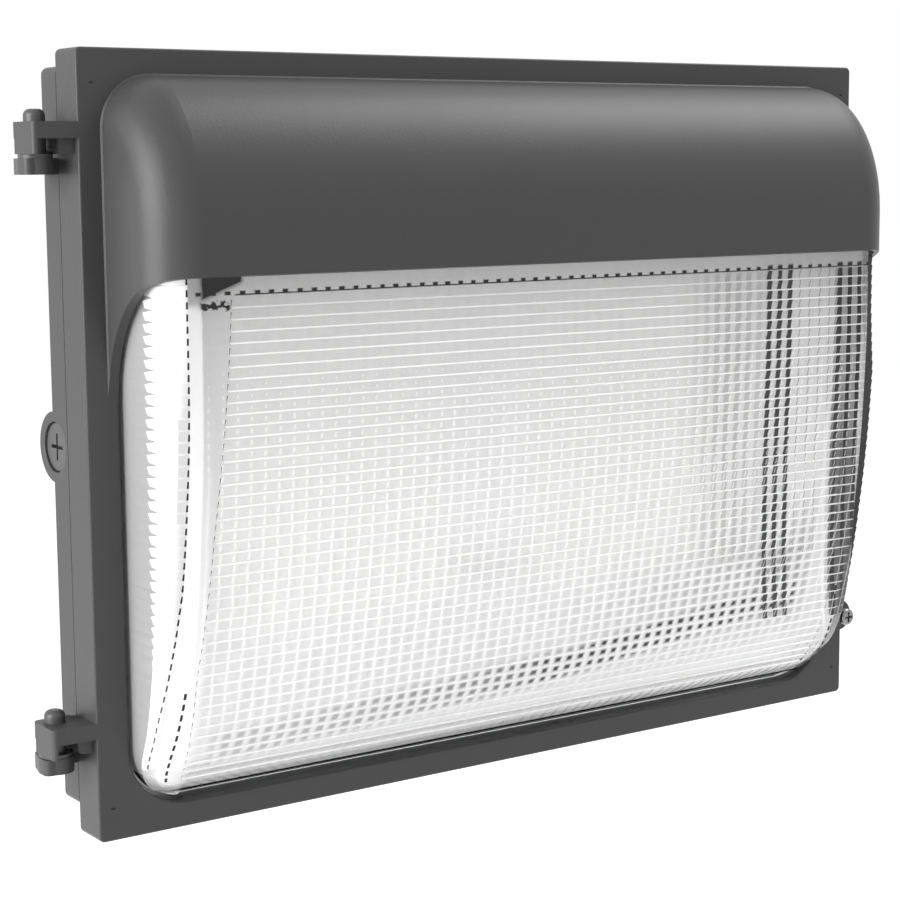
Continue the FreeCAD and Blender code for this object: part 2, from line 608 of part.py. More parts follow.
def lens_block(inset, y_back):
    """Solid inside the outer skin of the glass, or inside its wall when inset."""
    top_z = LENS_TOP_Z - inset
    y_front = Y_FACE - LENS_REACH + inset
    bow_r = BOW_RADIUS - inset
    chin_r = CHIN_RADIUS - inset
    bow_centre, bow_angle, chin_centre = lens_arcs()
    chin_angle = math.acos((chin_centre.y - Y_FACE_BACK) / chin_r)

    bow_end = on(bow_centre, bow_r, bow_angle)
    chin_end = on(chin_centre, chin_r, chin_angle)
    top_arc = quarter_ellipse(Y_FACE, HOOD_SPRING_Z, LENS_REACH - inset, top_z - HOOD_SPRING_Z)
    bow = Part.Arc(V(0, y_front, BOW_START_Z), on(bow_centre, bow_r, bow_angle / 2), bow_end)
    chin = Part.Arc(bow_end, on(chin_centre, chin_r, (bow_angle + chin_angle) / 2), chin_end)
    straight = [
        (V(0, y_front, HOOD_SPRING_Z), V(0, y_front, BOW_START_Z)),
        (chin_end, V(0, y_back, chin_end.z)),
        (V(0, y_back, chin_end.z), V(0, y_back, top_z)),
        (V(0, y_back, top_z), V(0, Y_FACE, top_z)),
    ]
    edges = [top_arc, bow.toShape(), chin.toShape()]
    edges += [Part.LineSegment(a, b).toShape() for a, b in straight]
    half_w = LENS_HALF_W - inset
    block = extrude_across(edges, half_w)

    def on_the_front(edge):
        on_side = lies_on(edge, "x", half_w) or lies_on(edge, "x", -half_w)
        behind = edge.BoundBox.YMin > Y_FACE - 1e-3 or lies_on(edge, "y", y_back)
        return on_side and not behind

    block = fillet_where(block, LENS_EDGE_R - inset, on_the_front)
    footprint = slab(half_w, LENS_LOW_Z + inset, top_z, Y_CLEAR_FRONT, y_back,
                     WINDOW_LOW_R - LENS_CLEARANCE - inset, LENS_TOP_R - inset)
    return block.common(footprint)


def flange_slab(grow, y0, y1):
    return slab(flange_half_w() + grow, flange_low_z() - grow, flange_top_z() + grow, y0, y1,
                FLANGE_CORNER_R)


def down_the_front(distance):
    """Point on the skin of the glass and the way out of it, below the top of the upright front."""
    bow_centre, bow_angle, chin_centre = lens_arcs()
    past_upright = distance - LENS_UPRIGHT_H
    if past_upright <= 0:
        return V(0, Y_FACE - LENS_REACH, HOOD_SPRING_Z - distance), V(0, -1, 0)
    angle = past_upright / BOW_RADIUS
    if angle <= bow_angle:
        point = on(bow_centre, BOW_RADIUS, angle)
    else:
        angle = bow_angle + (past_upright - bow_angle * BOW_RADIUS) / CHIN_RADIUS
        point = on(chin_centre, CHIN_RADIUS, angle)
    return point, V(0, -math.cos(angle), -math.sin(angle))


def lens_rib_cuts():
    """Wedges that leave level ribs on the front: each slopes in, then steps out again."""
    half_w = LENS_HALF_W - RIB_FIELD_IN
    cuts = []
    for i in range(RIB_COUNT):
        start, out = down_the_front(RIB_FIRST_Z + i * RIB_PITCH)
        deep, deep_out = down_the_front(RIB_FIRST_Z + (i + RIB_SLOPE) * RIB_PITCH)
        end, end_out = down_the_front(RIB_FIRST_Z + (i + 1) * RIB_PITCH)
        deep = deep.sub(deep_out * RIB_DEPTH)
        points = [start, deep, end, end.add(end_out * CUT_PAST), start.add(out * CUT_PAST)]
        face = Part.Face(Part.makePolygon(points + points[:1]))
        face.translate(V(-half_w, 0, 0))
        cuts.append(face.extrude(V(2 * half_w, 0, 0)))
    return cuts


def glass_lens():
    flange = flange_slab(0.0, Y_FLANGE, Y_FLANGE_BACK)
    bowl = lens_block(0.0, Y_FLANGE_BACK)
    hollow = lens_block(GLASS_T, Y_FLANGE_BACK + 1)
    bowl = cut_all(bowl, lens_rib_cuts())
    return flange.fuse(bowl).cut(hollow).removeSplitter()


def lens_gasket():
    ring = flange_slab(0.0, Y_FACE_BACK, Y_FLANGE)
    hole = slab(WINDOW_HALF_W + LENS_GASKET_LAP, WINDOW_LOW_Z - LENS_GASKET_LAP,
                WINDOW_TOP_Z + LENS_GASKET_LAP, Y_FACE_BACK - 1, Y_FLANGE + 1,
                WINDOW_LOW_R, LENS_TOP_R)
    return ring.cut(hole)


def lens_retainer():
    x_out = DOOR_HALF_W - DOOR_RIM_T - RETAINER_GAP
    z_out = DOOR_HALF_H - DOOR_RIM_T - RETAINER_GAP
    frame = slab(x_out, -z_out, z_out, Y_FLANGE_BACK, Y_RETAINER_BACK, DOOR_CORNER_R)
    inset = GLASS_T - RETAINER_LIP
    window = slab(LENS_HALF_W - inset, LENS_LOW_Z + inset, LENS_TOP_Z - inset,
                  Y_FLANGE_BACK - 1, Y_RETAINER_BACK + 1,
                  WINDOW_LOW_R - LENS_CLEARANCE - inset, LENS_TOP_R - inset)
    holes = [
        along_y(RETAINER_SCREW_R + SCREW_CLEARANCE, x, z, Y_FLANGE_BACK - 1, Y_RETAINER_BACK + 1)
        for x, z in retainer_screw_places()
    ]
    return cut_all(frame, [window] + holes)


def retainer_screws():
    return [
        pan_screw(x, z, Y_RETAINER_BACK, RETAINER_HEAD_R, RETAINER_HEAD_H, RETAINER_SCREW_R,
                  RETAINER_SCREW_L, facing=1)
        for x, z in retainer_screw_places()
    ]


def door_gasket():
    """Seal on the back of the retainer, where the collar of the housing presses."""
    lap = DOOR_GASKET_LAP
    y_end = Y_COLLAR - GASKET_GAP
    ring = slab(PAN_HALF_W + lap, PAN_LOW_Z - lap, PAN_TOP_Z + lap, Y_RETAINER_BACK, y_end,
                PAN_CORNER_R + lap)
    inner = HOUSING_WALL + lap
    hole = slab(PAN_HALF_W - inner, PAN_LOW_Z + inner, PAN_TOP_Z - inner, Y_RETAINER_BACK - 1,
                y_end + 1, PAN_CORNER_R - inner)
    return ring.cut(hole)


# ---------------------------------------------------------------- housing
def entry_boss(side):
    """Boss of a conduit entry, flush with the side of the housing."""
    x0 = side * DOOR_HALF_W
    x1 = side * (DOOR_HALF_W - ENTRY_BOSS_L)
    block = box(min(x0, x1), max(x0, x1), Y_SEAM, Y_ENTRY, -ENTRY_BOSS_R, ENTRY_BOSS_R)
    barrel = rod(ENTRY_BOSS_R, V(x0, Y_ENTRY, 0), V(x1, Y_ENTRY, 0))
    behind = box(min(x0, x1), max(x0, x1), Y_ENTRY, Y_ENTRY + ENTRY_BOSS_R + 1,
                 -ENTRY_BOSS_R, ENTRY_BOSS_R)
    return block.fuse(barrel.common(behind))


def entry_bore(side):
    bore_r = PLUG_R + PLUG_FIT
    x_face = side * DOOR_HALF_W
    bore = rod(bore_r, V(x_face + side, Y_ENTRY, 0), V(x_face - side * (ENTRY_BOSS_L + 1), Y_ENTRY, 0))
    mouth = Part.makeCone(bore_r + ENTRY_CHAMFER, bore_r, ENTRY_CHAMFER, V(x_face, Y_ENTRY, 0),
                          V(-side, 0, 0))
    return bore.fuse(mouth)


def knuckle(top_z):
    """Lug under a door arm that the hinge pin stands in."""
    z_top = knuckle_top_z(top_z)
    z_low = z_top - KNUCKLE_T
    barrel = rod(KNUCKLE_R, V(X_PIN, Y_PIN, z_low), V(X_PIN, Y_PIN, z_top))
    y_web = Y_SEAM + KNUCKLE_WEB_FROM_SEAM
    y_web_back = y_web + KNUCKLE_WEB_DEPTH
    x_root = -DOOR_HALF_W + HOUSING_WALL
    points = [
        V(X_PIN, Y_PIN, z_low),
        V(X_PIN - KNUCKLE_R, Y_PIN, z_low),
        V(X_PIN - KNUCKLE_R * WEB_OUTER_X, y_web + KNUCKLE_R * WEB_OUTER_Y, z_low),
        V(x_root, y_web_back, z_low),
        V(x_root, y_web, z_low),
        V(X_PIN + KNUCKLE_R * WEB_INNER_X, y_web, z_low),
    ]
    web = Part.Face(Part.makePolygon(points + points[:1])).extrude(V(0, 0, KNUCKLE_T))
    x_cheek, y_cheek = X_PIN - KNUCKLE_R, Y_PIN - KNUCKLE_CHEEK
    cheek = box(x_cheek, X_PIN, y_cheek, Y_PIN, z_low, z_top)
    cheek = fillet_where(cheek, KNUCKLE_CHEEK_R,
                         lambda e: lies_on(e, "x", x_cheek) and lies_on(e, "y", y_cheek))
    socket = rod(PIN_R + PRESS_GAP, V(X_PIN, Y_PIN, z_low - 1), V(X_PIN, Y_PIN, z_top + 1))
    return barrel.fuse([web, cheek]).cut(socket)


def knuckle_top_z(top_z):
    return top_z - ARM_PLATE_T - ARM_DROP - HINGE_WASHER_T


def pillar_places():
    low_z, top_z = tray_flat_z()
    return [(x, z) for x in PILLAR_X for z in (low_z + PILLAR_INSET_Z, top_z - PILLAR_INSET_Z)]


def driver_pad_places():
    """Centres of the two cast pads under the driver's ears."""
    x = DRIVER_W / 2 + DRIVER_EAR_W / 2
    return [(side * x, DRIVER_LOW_Z + DRIVER_H / 2) for side in (-1, 1)]


def back_housing():
    skirt = slab(DOOR_HALF_W, SKIRT_LOW_Z, SKIRT_TOP_Z, Y_SEAM, Y_SKIRT_BACK, SKIRT_CORNER_R)
    pan = slab(PAN_HALF_W, PAN_LOW_Z, PAN_TOP_Z, Y_COLLAR, 0.0, PAN_CORNER_R)
    pocket_z = (SKIRT_LOW_Z + HOUSING_WALL, SKIRT_TOP_Z - HOUSING_WALL)
    pocket_y = (Y_SEAM + HOUSING_WALL, Y_SKIRT_BACK + 1)
    x_out = DOOR_HALF_W - HOUSING_WALL
    pockets = [
        box(-x_out, -PAN_HALF_W, *pocket_y, *pocket_z),
        box(PAN_HALF_W, x_out, *pocket_y, *pocket_z),
    ]
    shell = cut_all(skirt, pockets).fuse(pan)
    cavity = slab(PAN_HALF_W - HOUSING_WALL, PAN_LOW_Z + HOUSING_WALL, PAN_TOP_Z - HOUSING_WALL,
                  Y_COLLAR - 1, Y_FLOOR, PAN_CORNER_R - HOUSING_WALL)
    shell = shell.fuse([entry_boss(side) for side in (-1, 1)]).cut(cavity)
    adds = [knuckle(top_z) for top_z in HINGE_TOPS_Z.values()]
    x_root = DOOR_HALF_W - HOUSING_WALL
    adds += [lug_shape(side * CLOSURE_Z, Y_SEAM, Y_SEAM + HOUSING_LUG_T, x_root) for side in (-1, 1)]
    adds += [along_y(PILLAR_R, x, z, Y_FLOOR, Y_TRAY_BACK) for x, z in pillar_places()]
    adds += [
        box(x - DRIVER_EAR_W / 2, x + DRIVER_EAR_W / 2, Y_FLOOR - DRIVER_PAD_T, Y_FLOOR,
            z - DRIVER_H / 2, z + DRIVER_H / 2)
        for x, z in driver_pad_places()
    ]
    adds.append(along_y(GROUND_BOSS_R, GROUND_X, GROUND_Z, Y_FLOOR, Y_FLOOR - GROUND_BOSS_T))
    shell = fuse_all([shell] + adds)
    holes = [entry_bore(side) for side in (-1, 1)]
    tip_r = CLOSURE_SCREW_R + CLOSURE_TIP_GAP
    holes += [
        along_y(tip_r, X_CLOSURE, side * CLOSURE_Z, Y_SEAM - 1, Y_SEAM + HOUSING_LUG_T + 1)
        for side in (-1, 1)
    ]
    holes += [
        along_y(TRAY_SCREW_R + SCREW_CLEARANCE, x, z, Y_TRAY_BACK - 1, Y_TRAY_BACK + TRAY_SCREW_L)
        for x, z in pillar_places()
    ]
    holes += [
        along_y(DRIVER_SCREW_R + SCREW_CLEARANCE, x, z, Y_FLOOR - DRIVER_PAD_T - 1,
                Y_FLOOR - DRIVER_PAD_T + DRIVER_SCREW_L)
        for x, z in driver_pad_places()
    ]
    holes.append(along_y(GROUND_SCREW_R + SCREW_CLEARANCE, GROUND_X, GROUND_Z,
                         Y_FLOOR - GROUND_BOSS_T - 1, Y_FLOOR - GROUND_BOSS_T + GROUND_SCREW_L))
    holes += [
        along_y(WALL_HOLE_R, sx * WALL_HOLE_X, sz * WALL_HOLE_Z, Y_FLOOR - 1, 1)
        for sx in (-1, 1) for sz in (-1, 1)
    ]
    holes += [
        along_y(BOX_HOLE_R, sx * BOX_HOLE_DX / 2, WIRE_ENTRY_Z, Y_FLOOR - 1, 1) for sx in (-1, 1)
    ]
    holes.append(along_y(WIRE_HOLE_R, 0, WIRE_ENTRY_Z, Y_FLOOR - 1, 1))
    return cut_all(shell, holes)


def wall_grommet():
    """Rubber bush in the wiring hole of the wall face, flush with that face."""
    lip_y = Y_FLOOR - WALL_GROMMET_LIP_T
    z = WIRE_ENTRY_Z
    body = along_y(WIRE_HOLE_R - PRESS_GAP, 0, z, lip_y, 0)
    lip = along_y(WALL_GROMMET_R, 0, z, lip_y, Y_FLOOR)
    return body.fuse(lip).cut(along_y(WALL_GROMMET_BORE_R, 0, z, lip_y - 1, 1)).removeSplitter()


def hinge_pin(top_z):
    z_low = knuckle_top_z(top_z) - KNUCKLE_T
    z_high = top_z + PIN_ABOVE_ARM
    pin = rod(PIN_R, V(X_PIN, Y_PIN, z_low), V(X_PIN, Y_PIN, z_high))
    return fillet_where(pin, PIN_DOME_R, lambda e: lies_on(e, "z", z_high))


def hinge_washer(top_z):
    z_low = knuckle_top_z(top_z)
    z_high = z_low + HINGE_WASHER_T
    disc = rod(HINGE_WASHER_R, V(X_PIN, Y_PIN, z_low), V(X_PIN, Y_PIN, z_high))
    return disc.cut(rod(PIN_R + PIN_FIT, V(X_PIN, Y_PIN, z_low - 1), V(X_PIN, Y_PIN, z_high + 1)))


# ---------------------------------------------------------------- closure screws and plugs
def ring_y():
    """Front of the retaining ring on a closure screw."""
    return Y_RIM_BACK - CLOSURE_RING_T - CLOSURE_RING_IN


def closure_screw(side_z):
    y_head = Y_LUG - CLOSURE_HEAD_H
    head = along_y(CLOSURE_HEAD_R, X_CLOSURE, side_z, y_head, Y_LUG)
    head = fillet_where(head, CLOSURE_HEAD_EDGE, lambda e: lies_on(e, "y", y_head))
    shank = along_y(CLOSURE_SCREW_R, X_CLOSURE, side_z, Y_LUG, Y_SEAM + CLOSURE_ENGAGE)
    groove = ring(CLOSURE_SCREW_R + 1, CLOSURE_SCREW_R - CLOSURE_GROOVE_D, side_z)
    slot = box(X_CLOSURE - CLOSURE_SLOT_L / 2, X_CLOSURE + CLOSURE_SLOT_L / 2,
               y_head - 1, y_head + CLOSURE_SLOT_D,
               side_z - CLOSURE_SLOT_W / 2, side_z + CLOSURE_SLOT_W / 2)
    cross = slot.copy()
    cross.rotate(V(X_CLOSURE, 0, side_z), Y_AXIS, 90)
    return cut_all(head.fuse(shank).removeSplitter(), [groove, slot, cross])


def ring(outer_r, inner_r, side_z):
    y0 = ring_y()
    y1 = y0 + CLOSURE_RING_T
    disc = along_y(outer_r, X_CLOSURE, side_z, y0, y1)
    return disc.cut(along_y(inner_r, X_CLOSURE, side_z, y0 - 1, y1 + 1))


def plug_groove(side, outer_r):
    x0 = side * (DOOR_HALF_W - PLUG_SINK - PLUG_SEAL_FROM_FACE)
    x1 = x0 - side * PLUG_SEAL_T
    band = rod(outer_r, V(x0, Y_ENTRY, 0), V(x1, Y_ENTRY, 0))
    return band.cut(rod(PLUG_R - PLUG_SEAL_DEPTH, V(x0 + side, Y_ENTRY, 0), V(x1 - side, Y_ENTRY, 0)))


def conduit_plug(side):
    x_face = side * (DOOR_HALF_W - PLUG_SINK)
    plug = rod(PLUG_R, V(x_face, Y_ENTRY, 0), V(x_face - side * PLUG_L, Y_ENTRY, 0))
    plug = fillet_where(plug, PLUG_EDGE_R, lambda e: lies_on(e, "x", x_face))
    plug = plug.cut(plug_groove(side, PLUG_R + 1))
    x_slot = x_face - side * PLUG_SLOT_D
    slot = box(min(x_slot, x_face + side), max(x_slot, x_face + side),
               Y_ENTRY - PLUG_SLOT_HALF, Y_ENTRY + PLUG_SLOT_HALF, -PLUG_SLOT_W / 2, PLUG_SLOT_W / 2)
    cross = slot.copy()
    cross.rotate(V(0, Y_ENTRY, 0), X_AXIS, 90)
    return cut_all(plug, [slot, cross])


# ---------------------------------------------------------------- reflector and light engine
def tray_outline(inset):
    """Half width, bottom and top of the tray, drawn in from its rim."""
    gap = HOUSING_WALL + TRAY_GAP + inset
    return PAN_HALF_W - gap, PAN_LOW_Z + gap, PAN_TOP_Z - gap


def tray_flat_z():
    _, low_z, top_z = tray_outline(TRAY_SLOPE_W)
    return low_z, top_z


def tray_solid(back):
    """Dished block between the rim and the flat, moved back by a distance."""
    rim_r = PAN_CORNER_R - HOUSING_WALL - TRAY_GAP
    rim = outline_xz(*tray_outline(0.0), rim_r, rim_r, Y_TRAY_RIM + back)
    flat = outline_xz(*tray_outline(TRAY_SLOPE_W), rim_r, rim_r, Y_TRAY + back)
    return Part.makeLoft([rim, flat], True, True)


def reflector_tray():
    outer = tray_solid(TRAY_T)
    inner = tray_solid(0.0)
    lead_in = slab(*tray_outline(0.0), Y_TRAY_RIM, Y_TRAY_RIM + TRAY_T,
                   PAN_CORNER_R - HOUSING_WALL - TRAY_GAP)
    tray = outer.fuse(lead_in).cut(inner)
    holes = [
        along_y(TRAY_SCREW_R + SCREW_CLEARANCE, x, z, Y_TRAY - 1, Y_TRAY_BACK + 1)
        for x, z in pillar_places()
    ]
    holes += [
        along_y(BOARD_SCREW_R + SCREW_CLEARANCE, x, z, Y_TRAY - 1, Y_TRAY_BACK + 1)
        for side in (-1, 1) for x, z in board_screw_places(side)
    ]
    holes.append(along_y(GROMMET_NECK_R, 0, CONNECTOR_Z, Y_TRAY - 1, Y_TRAY_BACK + 1))
    return cut_all(tray, holes).removeSplitter()


def board_screw_places(side):
    inset = BOARD_SCREW_INSET
    xs = (BOARD_INNER_X + inset, BOARD_INNER_X + BOARD_W - inset)
    zs = (PAN_CENTRE_Z - BOARD_H / 2 + inset, PAN_CENTRE_Z + BOARD_H / 2 - inset)
    return [(side * x, z) for x in xs for z in zs]


def led_board(side):
    x0 = side * BOARD_INNER_X
    x1 = side * (BOARD_INNER_X + BOARD_W)
    board = box(min(x0, x1), max(x0, x1), Y_BOARD, Y_TRAY,
                PAN_CENTRE_Z - BOARD_H / 2, PAN_CENTRE_Z + BOARD_H / 2)
    holes = [
        along_y(BOARD_SCREW_R + SCREW_CLEARANCE, x, z, Y_BOARD - 1, Y_TRAY + 1)
        for x, z in board_screw_places(side)
    ]
    return cut_all(board, holes)


def led_chips(side):
    pitch_x = (BOARD_W - 2 * CHIP_MARGIN_X) / (CHIP_COLUMNS - 1)
    pitch_z = (BOARD_H - 2 * CHIP_MARGIN_Z) / (CHIP_ROWS - 1)
    half = CHIP_SIDE / 2
    chips = []
    for column in range(CHIP_COLUMNS):
        for row in range(CHIP_ROWS):
            x = side * (BOARD_INNER_X + CHIP_MARGIN_X + column * pitch_x)
            z = PAN_CENTRE_Z - BOARD_H / 2 + CHIP_MARGIN_Z + row * pitch_z
            if abs(x) < BOARD_INNER_X + CONNECTOR_W + CHIP_SIDE and abs(z - CONNECTOR_Z) < CONNECTOR_H:
                continue
            chips.append(box(x - half, x + half, Y_BOARD - CHIP_T, Y_BOARD, z - half, z + half))
    return chips


def led_connectors():
    """Push-in connectors at the inner edge of each board, where the two leads end."""
    connectors = []
    for side in (-1, 1):
        x0 = side * (BOARD_INNER_X + CONNECTOR_IN)
        x1 = x0 + side * CONNECTOR_W
        block = box(min(x0, x1), max(x0, x1), Y_BOARD - CONNECTOR_T, Y_BOARD,
                    CONNECTOR_Z - CONNECTOR_H / 2, CONNECTOR_Z + CONNECTOR_H / 2)
        connectors.append(block)
    return connectors


def tray_grommet():
    """Rubber plug in the tray, with a hole of its own for each lead."""
    front = along_y(GROMMET_R, 0, CONNECTOR_Z, Y_TRAY - GROMMET_LIP_T, Y_TRAY)
    neck = along_y(GROMMET_NECK_R - PRESS_GAP, 0, CONNECTOR_Z, Y_TRAY, Y_TRAY_BACK)
    rear = along_y(GROMMET_R, 0, CONNECTOR_Z, Y_TRAY_BACK, Y_TRAY_BACK + GROMMET_LIP_T)
    holes = [
        along_y(LEAD_R + LEAD_HOLE_GAP, sx * LEAD_HALF_X, CONNECTOR_Z + sz * LEAD_HALF_Z,
                Y_TRAY - CUT_PAST, Y_TRAY_BACK + CUT_PAST)
        for sx in (-1, 1) for sz in (-1, 1)
    ]
    return cut_all(fuse_all([front, neck, rear]), holes)


# ---------------------------------------------------------------- driver and wiring
def led_driver():
    y_back = Y_FLOOR - DRIVER_PAD_T
    z0 = DRIVER_LOW_Z
    body = box(-DRIVER_W / 2, DRIVER_W / 2, y_back - DRIVER_T, y_back, z0, z0 + DRIVER_H)
    body = fillet_where(body, DRIVER_EDGE_R,
                        lambda e: lies_on(e, "y", y_back - DRIVER_T))
    x_ear = DRIVER_W / 2 + DRIVER_EAR_W
    ears = box(-x_ear, x_ear, y_back - DRIVER_EAR_T, y_back, z0, z0 + DRIVER_H)
    holes = [
        along_y(DRIVER_SCREW_R + SCREW_CLEARANCE, x, z, y_back - DRIVER_EAR_T - 1, y_back + 1)
        for x, z in driver_pad_places()
    ]
    return cut_all(fuse_all([body, ears]), holes)


def bent_tube(points, bend_radii, radius):
    """Tube along straight runs that are joined by tangent arcs."""
    edges = []
    start = points[0]
    for before, corner, after, bend in zip(points, points[1:], points[2:], bend_radii):
        to_corner = corner.sub(before).normalize()
        from_corner = after.sub(corner).normalize()
        half_turn = to_corner.getAngle(from_corner) / 2
        back = bend * math.tan(half_turn)
        arc_start = corner.sub(to_corner * back)
        arc_end = corner.add(from_corner * back)
        inward = from_corner.sub(to_corner).normalize()
        middle = corner.add(inward * (bend / math.cos(half_turn) - bend))
        edges.append(Part.LineSegment(start, arc_start).toShape())
        edges.append(Part.Arc(arc_start, middle, arc_end).toShape())
        start = arc_end
    edges.append(Part.LineSegment(start, points[-1]).toShape())
    path = Part.Wire(edges)
    section = Part.Wire(Part.Circle(points[0], points[1].sub(points[0]), radius).toShape())
    return path.makePipeShell([section], True, False)


def output_leads():
    """Four leads from the driver, through the tray and on to the two boards."""
    y_driver = Y_FLOOR - DRIVER_PAD_T - DRIVER_T
    y_turn = Y_TRAY - GROMMET_LIP_T - LEAD_R - LEAD_LIFT
    leads = []
    for side in (-1, 1):
        for y_in, dz in ((LEAD_FRONT_Y_IN, LEAD_HALF_Z), (LEAD_BACK_Y_IN, -LEAD_HALF_Z)):
            x = side * LEAD_HALF_X
            y = y_driver + y_in
            z = CONNECTOR_Z + dz
            points = [
                V(x, y, DRIVER_LOW_Z),
                V(x, y, z),
                V(x, y_turn, z),
                V(side * (BOARD_INNER_X + CONNECTOR_IN), y_turn, z),
            ]
            leads.append(bent_tube(points, (LEAD_BEND_R, LEAD_TURN_R), LEAD_R))
    return leads


def terminal_block():
    z0 = TERMINAL_Z - TERMINAL_H / 2
    body = box(TERMINAL_X - TERMINAL_W / 2, TERMINAL_X + TERMINAL_W / 2,
               Y_FLOOR - TERMINAL_T, Y_FLOOR, z0, z0 + TERMINAL_H)
    wells = [
        along_y(TERMINAL_SCREW_R + SCREW_CLEARANCE, x, TERMINAL_Z - TERMINAL_H / 4,
                Y_FLOOR - TERMINAL_T - 1, Y_FLOOR - TERMINAL_T / 2)
        for x in terminal_xs()
    ]
    return cut_all(body, wells)


def terminal_xs():
    middle = (TERMINAL_SCREWS - 1) / 2
    return [TERMINAL_X + (i - middle) * SUPPLY_PITCH for i in range(TERMINAL_SCREWS)]


def terminal_screws():
    y_head = Y_FLOOR - TERMINAL_T + TERMINAL_SCREW_SINK
    screws = []
    for x in terminal_xs():
        z = TERMINAL_Z - TERMINAL_H / 4
        screw = along_y(TERMINAL_SCREW_R, x, z, y_head, Y_FLOOR - TERMINAL_T / 2)
        slot = box(x - TERMINAL_SCREW_R - 1, x + TERMINAL_SCREW_R + 1,
                   y_head - 1, y_head + TERMINAL_SLOT_D,
                   z - TERMINAL_SLOT_HALF_W, z + TERMINAL_SLOT_HALF_W)
        screws.append(screw.cut(slot))
    return screws


def supply_leads():
    """Leads from the terminal block up to the left end of the driver."""
    leads = []
    y = Y_FLOOR - SUPPLY_OUT
    z_top = TERMINAL_Z + TERMINAL_H / 2
    for i, x in enumerate(terminal_xs()):
        z_in = DRIVER_LOW_Z + DRIVER_H / 2 - (i - 1) * SUPPLY_PITCH
        points = [
            V(x, y, z_top),
            V(x, y, z_in),
            V(-DRIVER_W / 2, y, z_in),
        ]
        leads.append(bent_tube(points, (SUPPLY_BEND_R,), LEAD_R))
    return leads


def screws_at(places, y_seat, head_r, head_h, shank_r, shank_l):
    return [pan_screw(x, z, y_seat, head_r, head_h, shank_r, shank_l) for x, z in places]


def all_nodes():
    boards = [place for side in (-1, 1) for place in board_screw_places(side)]
    driver_seat = Y_FLOOR - DRIVER_PAD_T - DRIVER_EAR_T
    nodes = {
        "back_housing": back_housing(),
        "door_frame": door_frame(),
        "glass_lens": glass_lens(),
        "lens_gasket": lens_gasket(),
        "lens_retainer": lens_retainer(),
        "retainer_screws": retainer_screws(),
        "door_gasket": door_gasket(),
        "reflector_tray": reflector_tray(),
        "tray_screws": screws_at(pillar_places(), Y_TRAY, TRAY_HEAD_R, TRAY_HEAD_H,
                                 TRAY_SCREW_R, TRAY_SCREW_L),
        "led_board_screws": screws_at(boards, Y_BOARD, BOARD_HEAD_R, BOARD_HEAD_H,
                                      BOARD_SCREW_R, BOARD_SCREW_L),
        "led_connectors": led_connectors(),
        "tray_grommet": tray_grommet(),
        "wall_grommet": wall_grommet(),
        "led_driver": led_driver(),
        "driver_screws": screws_at(driver_pad_places(), driver_seat, DRIVER_HEAD_R,
                                   DRIVER_HEAD_H, DRIVER_SCREW_R, DRIVER_SCREW_L),
        "output_leads": output_leads(),
        "supply_leads": supply_leads(),
        "terminal_block": terminal_block(),
        "terminal_screws": terminal_screws(),
        "ground_screw": pan_screw(GROUND_X, GROUND_Z, Y_FLOOR - GROUND_BOSS_T, GROUND_HEAD_R,
                                  GROUND_HEAD_H, GROUND_SCREW_R, GROUND_SCREW_L),
    }
    for name, side in (("left", -1), ("right", 1)):
        nodes["conduit_plug_" + name] = conduit_plug(side)
        nodes["plug_seal_" + name] = plug_groove(side, PLUG_R)
        nodes["led_board_" + name] = led_board(side)
        nodes["led_chips_" + name] = led_chips(side)
    for name, side in (("upper", 1), ("lower", -1)):
        nodes["closure_screw_" + name] = closure_screw(side * CLOSURE_Z)
        nodes["closure_ring_" + name] = ring(CLOSURE_RING_R, CLOSURE_SCREW_R - CLOSURE_GROOVE_D,
                                              side * CLOSURE_Z)
        nodes["hinge_pin_" + name] = hinge_pin(HINGE_TOPS_Z[name])
        nodes["hinge_washer_" + name] = hinge_washer(HINGE_TOPS_Z[name])
    return nodes


def main():
    os.makedirs("parts", exist_ok=True)
    for name, shape in all_nodes().items():
        solid = Part.makeCompound(shape) if isinstance(shape, list) else shape
        count = len(solid.Solids)
        print(name, "solids", count, "valid", solid.isValid(), "volume", round(solid.Volume, 1))
        solid.exportStep("parts/" + name + ".step")


main()
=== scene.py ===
# %% [markdown]
# # Wall pack light
# A cast housing stands on the wall, a hinged cast door with a hood closes it, and a
# ribbed glass lens looks out of the door. The solids come from the CAD model as a fixed
# frame. This file gives them their finishes, makes the ribbed lens, and sets up the
# studio.

# %% Load the frame
import bisect
import math

import bmesh
import bpy
from mathutils import Matrix, Vector


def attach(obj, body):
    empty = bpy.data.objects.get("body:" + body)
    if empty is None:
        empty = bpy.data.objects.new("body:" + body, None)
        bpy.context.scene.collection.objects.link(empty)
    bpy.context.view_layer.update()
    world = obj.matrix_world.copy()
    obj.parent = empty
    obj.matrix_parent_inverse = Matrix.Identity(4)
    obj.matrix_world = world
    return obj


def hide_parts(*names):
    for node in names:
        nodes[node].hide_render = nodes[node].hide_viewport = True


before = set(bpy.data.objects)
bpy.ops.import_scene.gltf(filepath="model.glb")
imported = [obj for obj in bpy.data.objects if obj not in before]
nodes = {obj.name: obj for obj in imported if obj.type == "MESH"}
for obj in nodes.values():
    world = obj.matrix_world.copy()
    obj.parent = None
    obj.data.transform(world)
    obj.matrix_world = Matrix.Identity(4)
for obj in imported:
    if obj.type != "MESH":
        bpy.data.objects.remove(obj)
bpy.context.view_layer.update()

MM = 0.001

# %% [markdown]
# ## Camera
# The real photograph was taken from the left and a little above, with a moderate
# telephoto lens. The camera could be aimed at a target, but three plain angles are
# easier to read: it turns left, looks down, and leans by half a degree.

# %% Camera
CAMERA_AT = (-0.5342, -0.7797, 0.1071)
TURN, TILT, LEAN = (math.radians(a) for a in (-34.75, -7.72, -0.48))


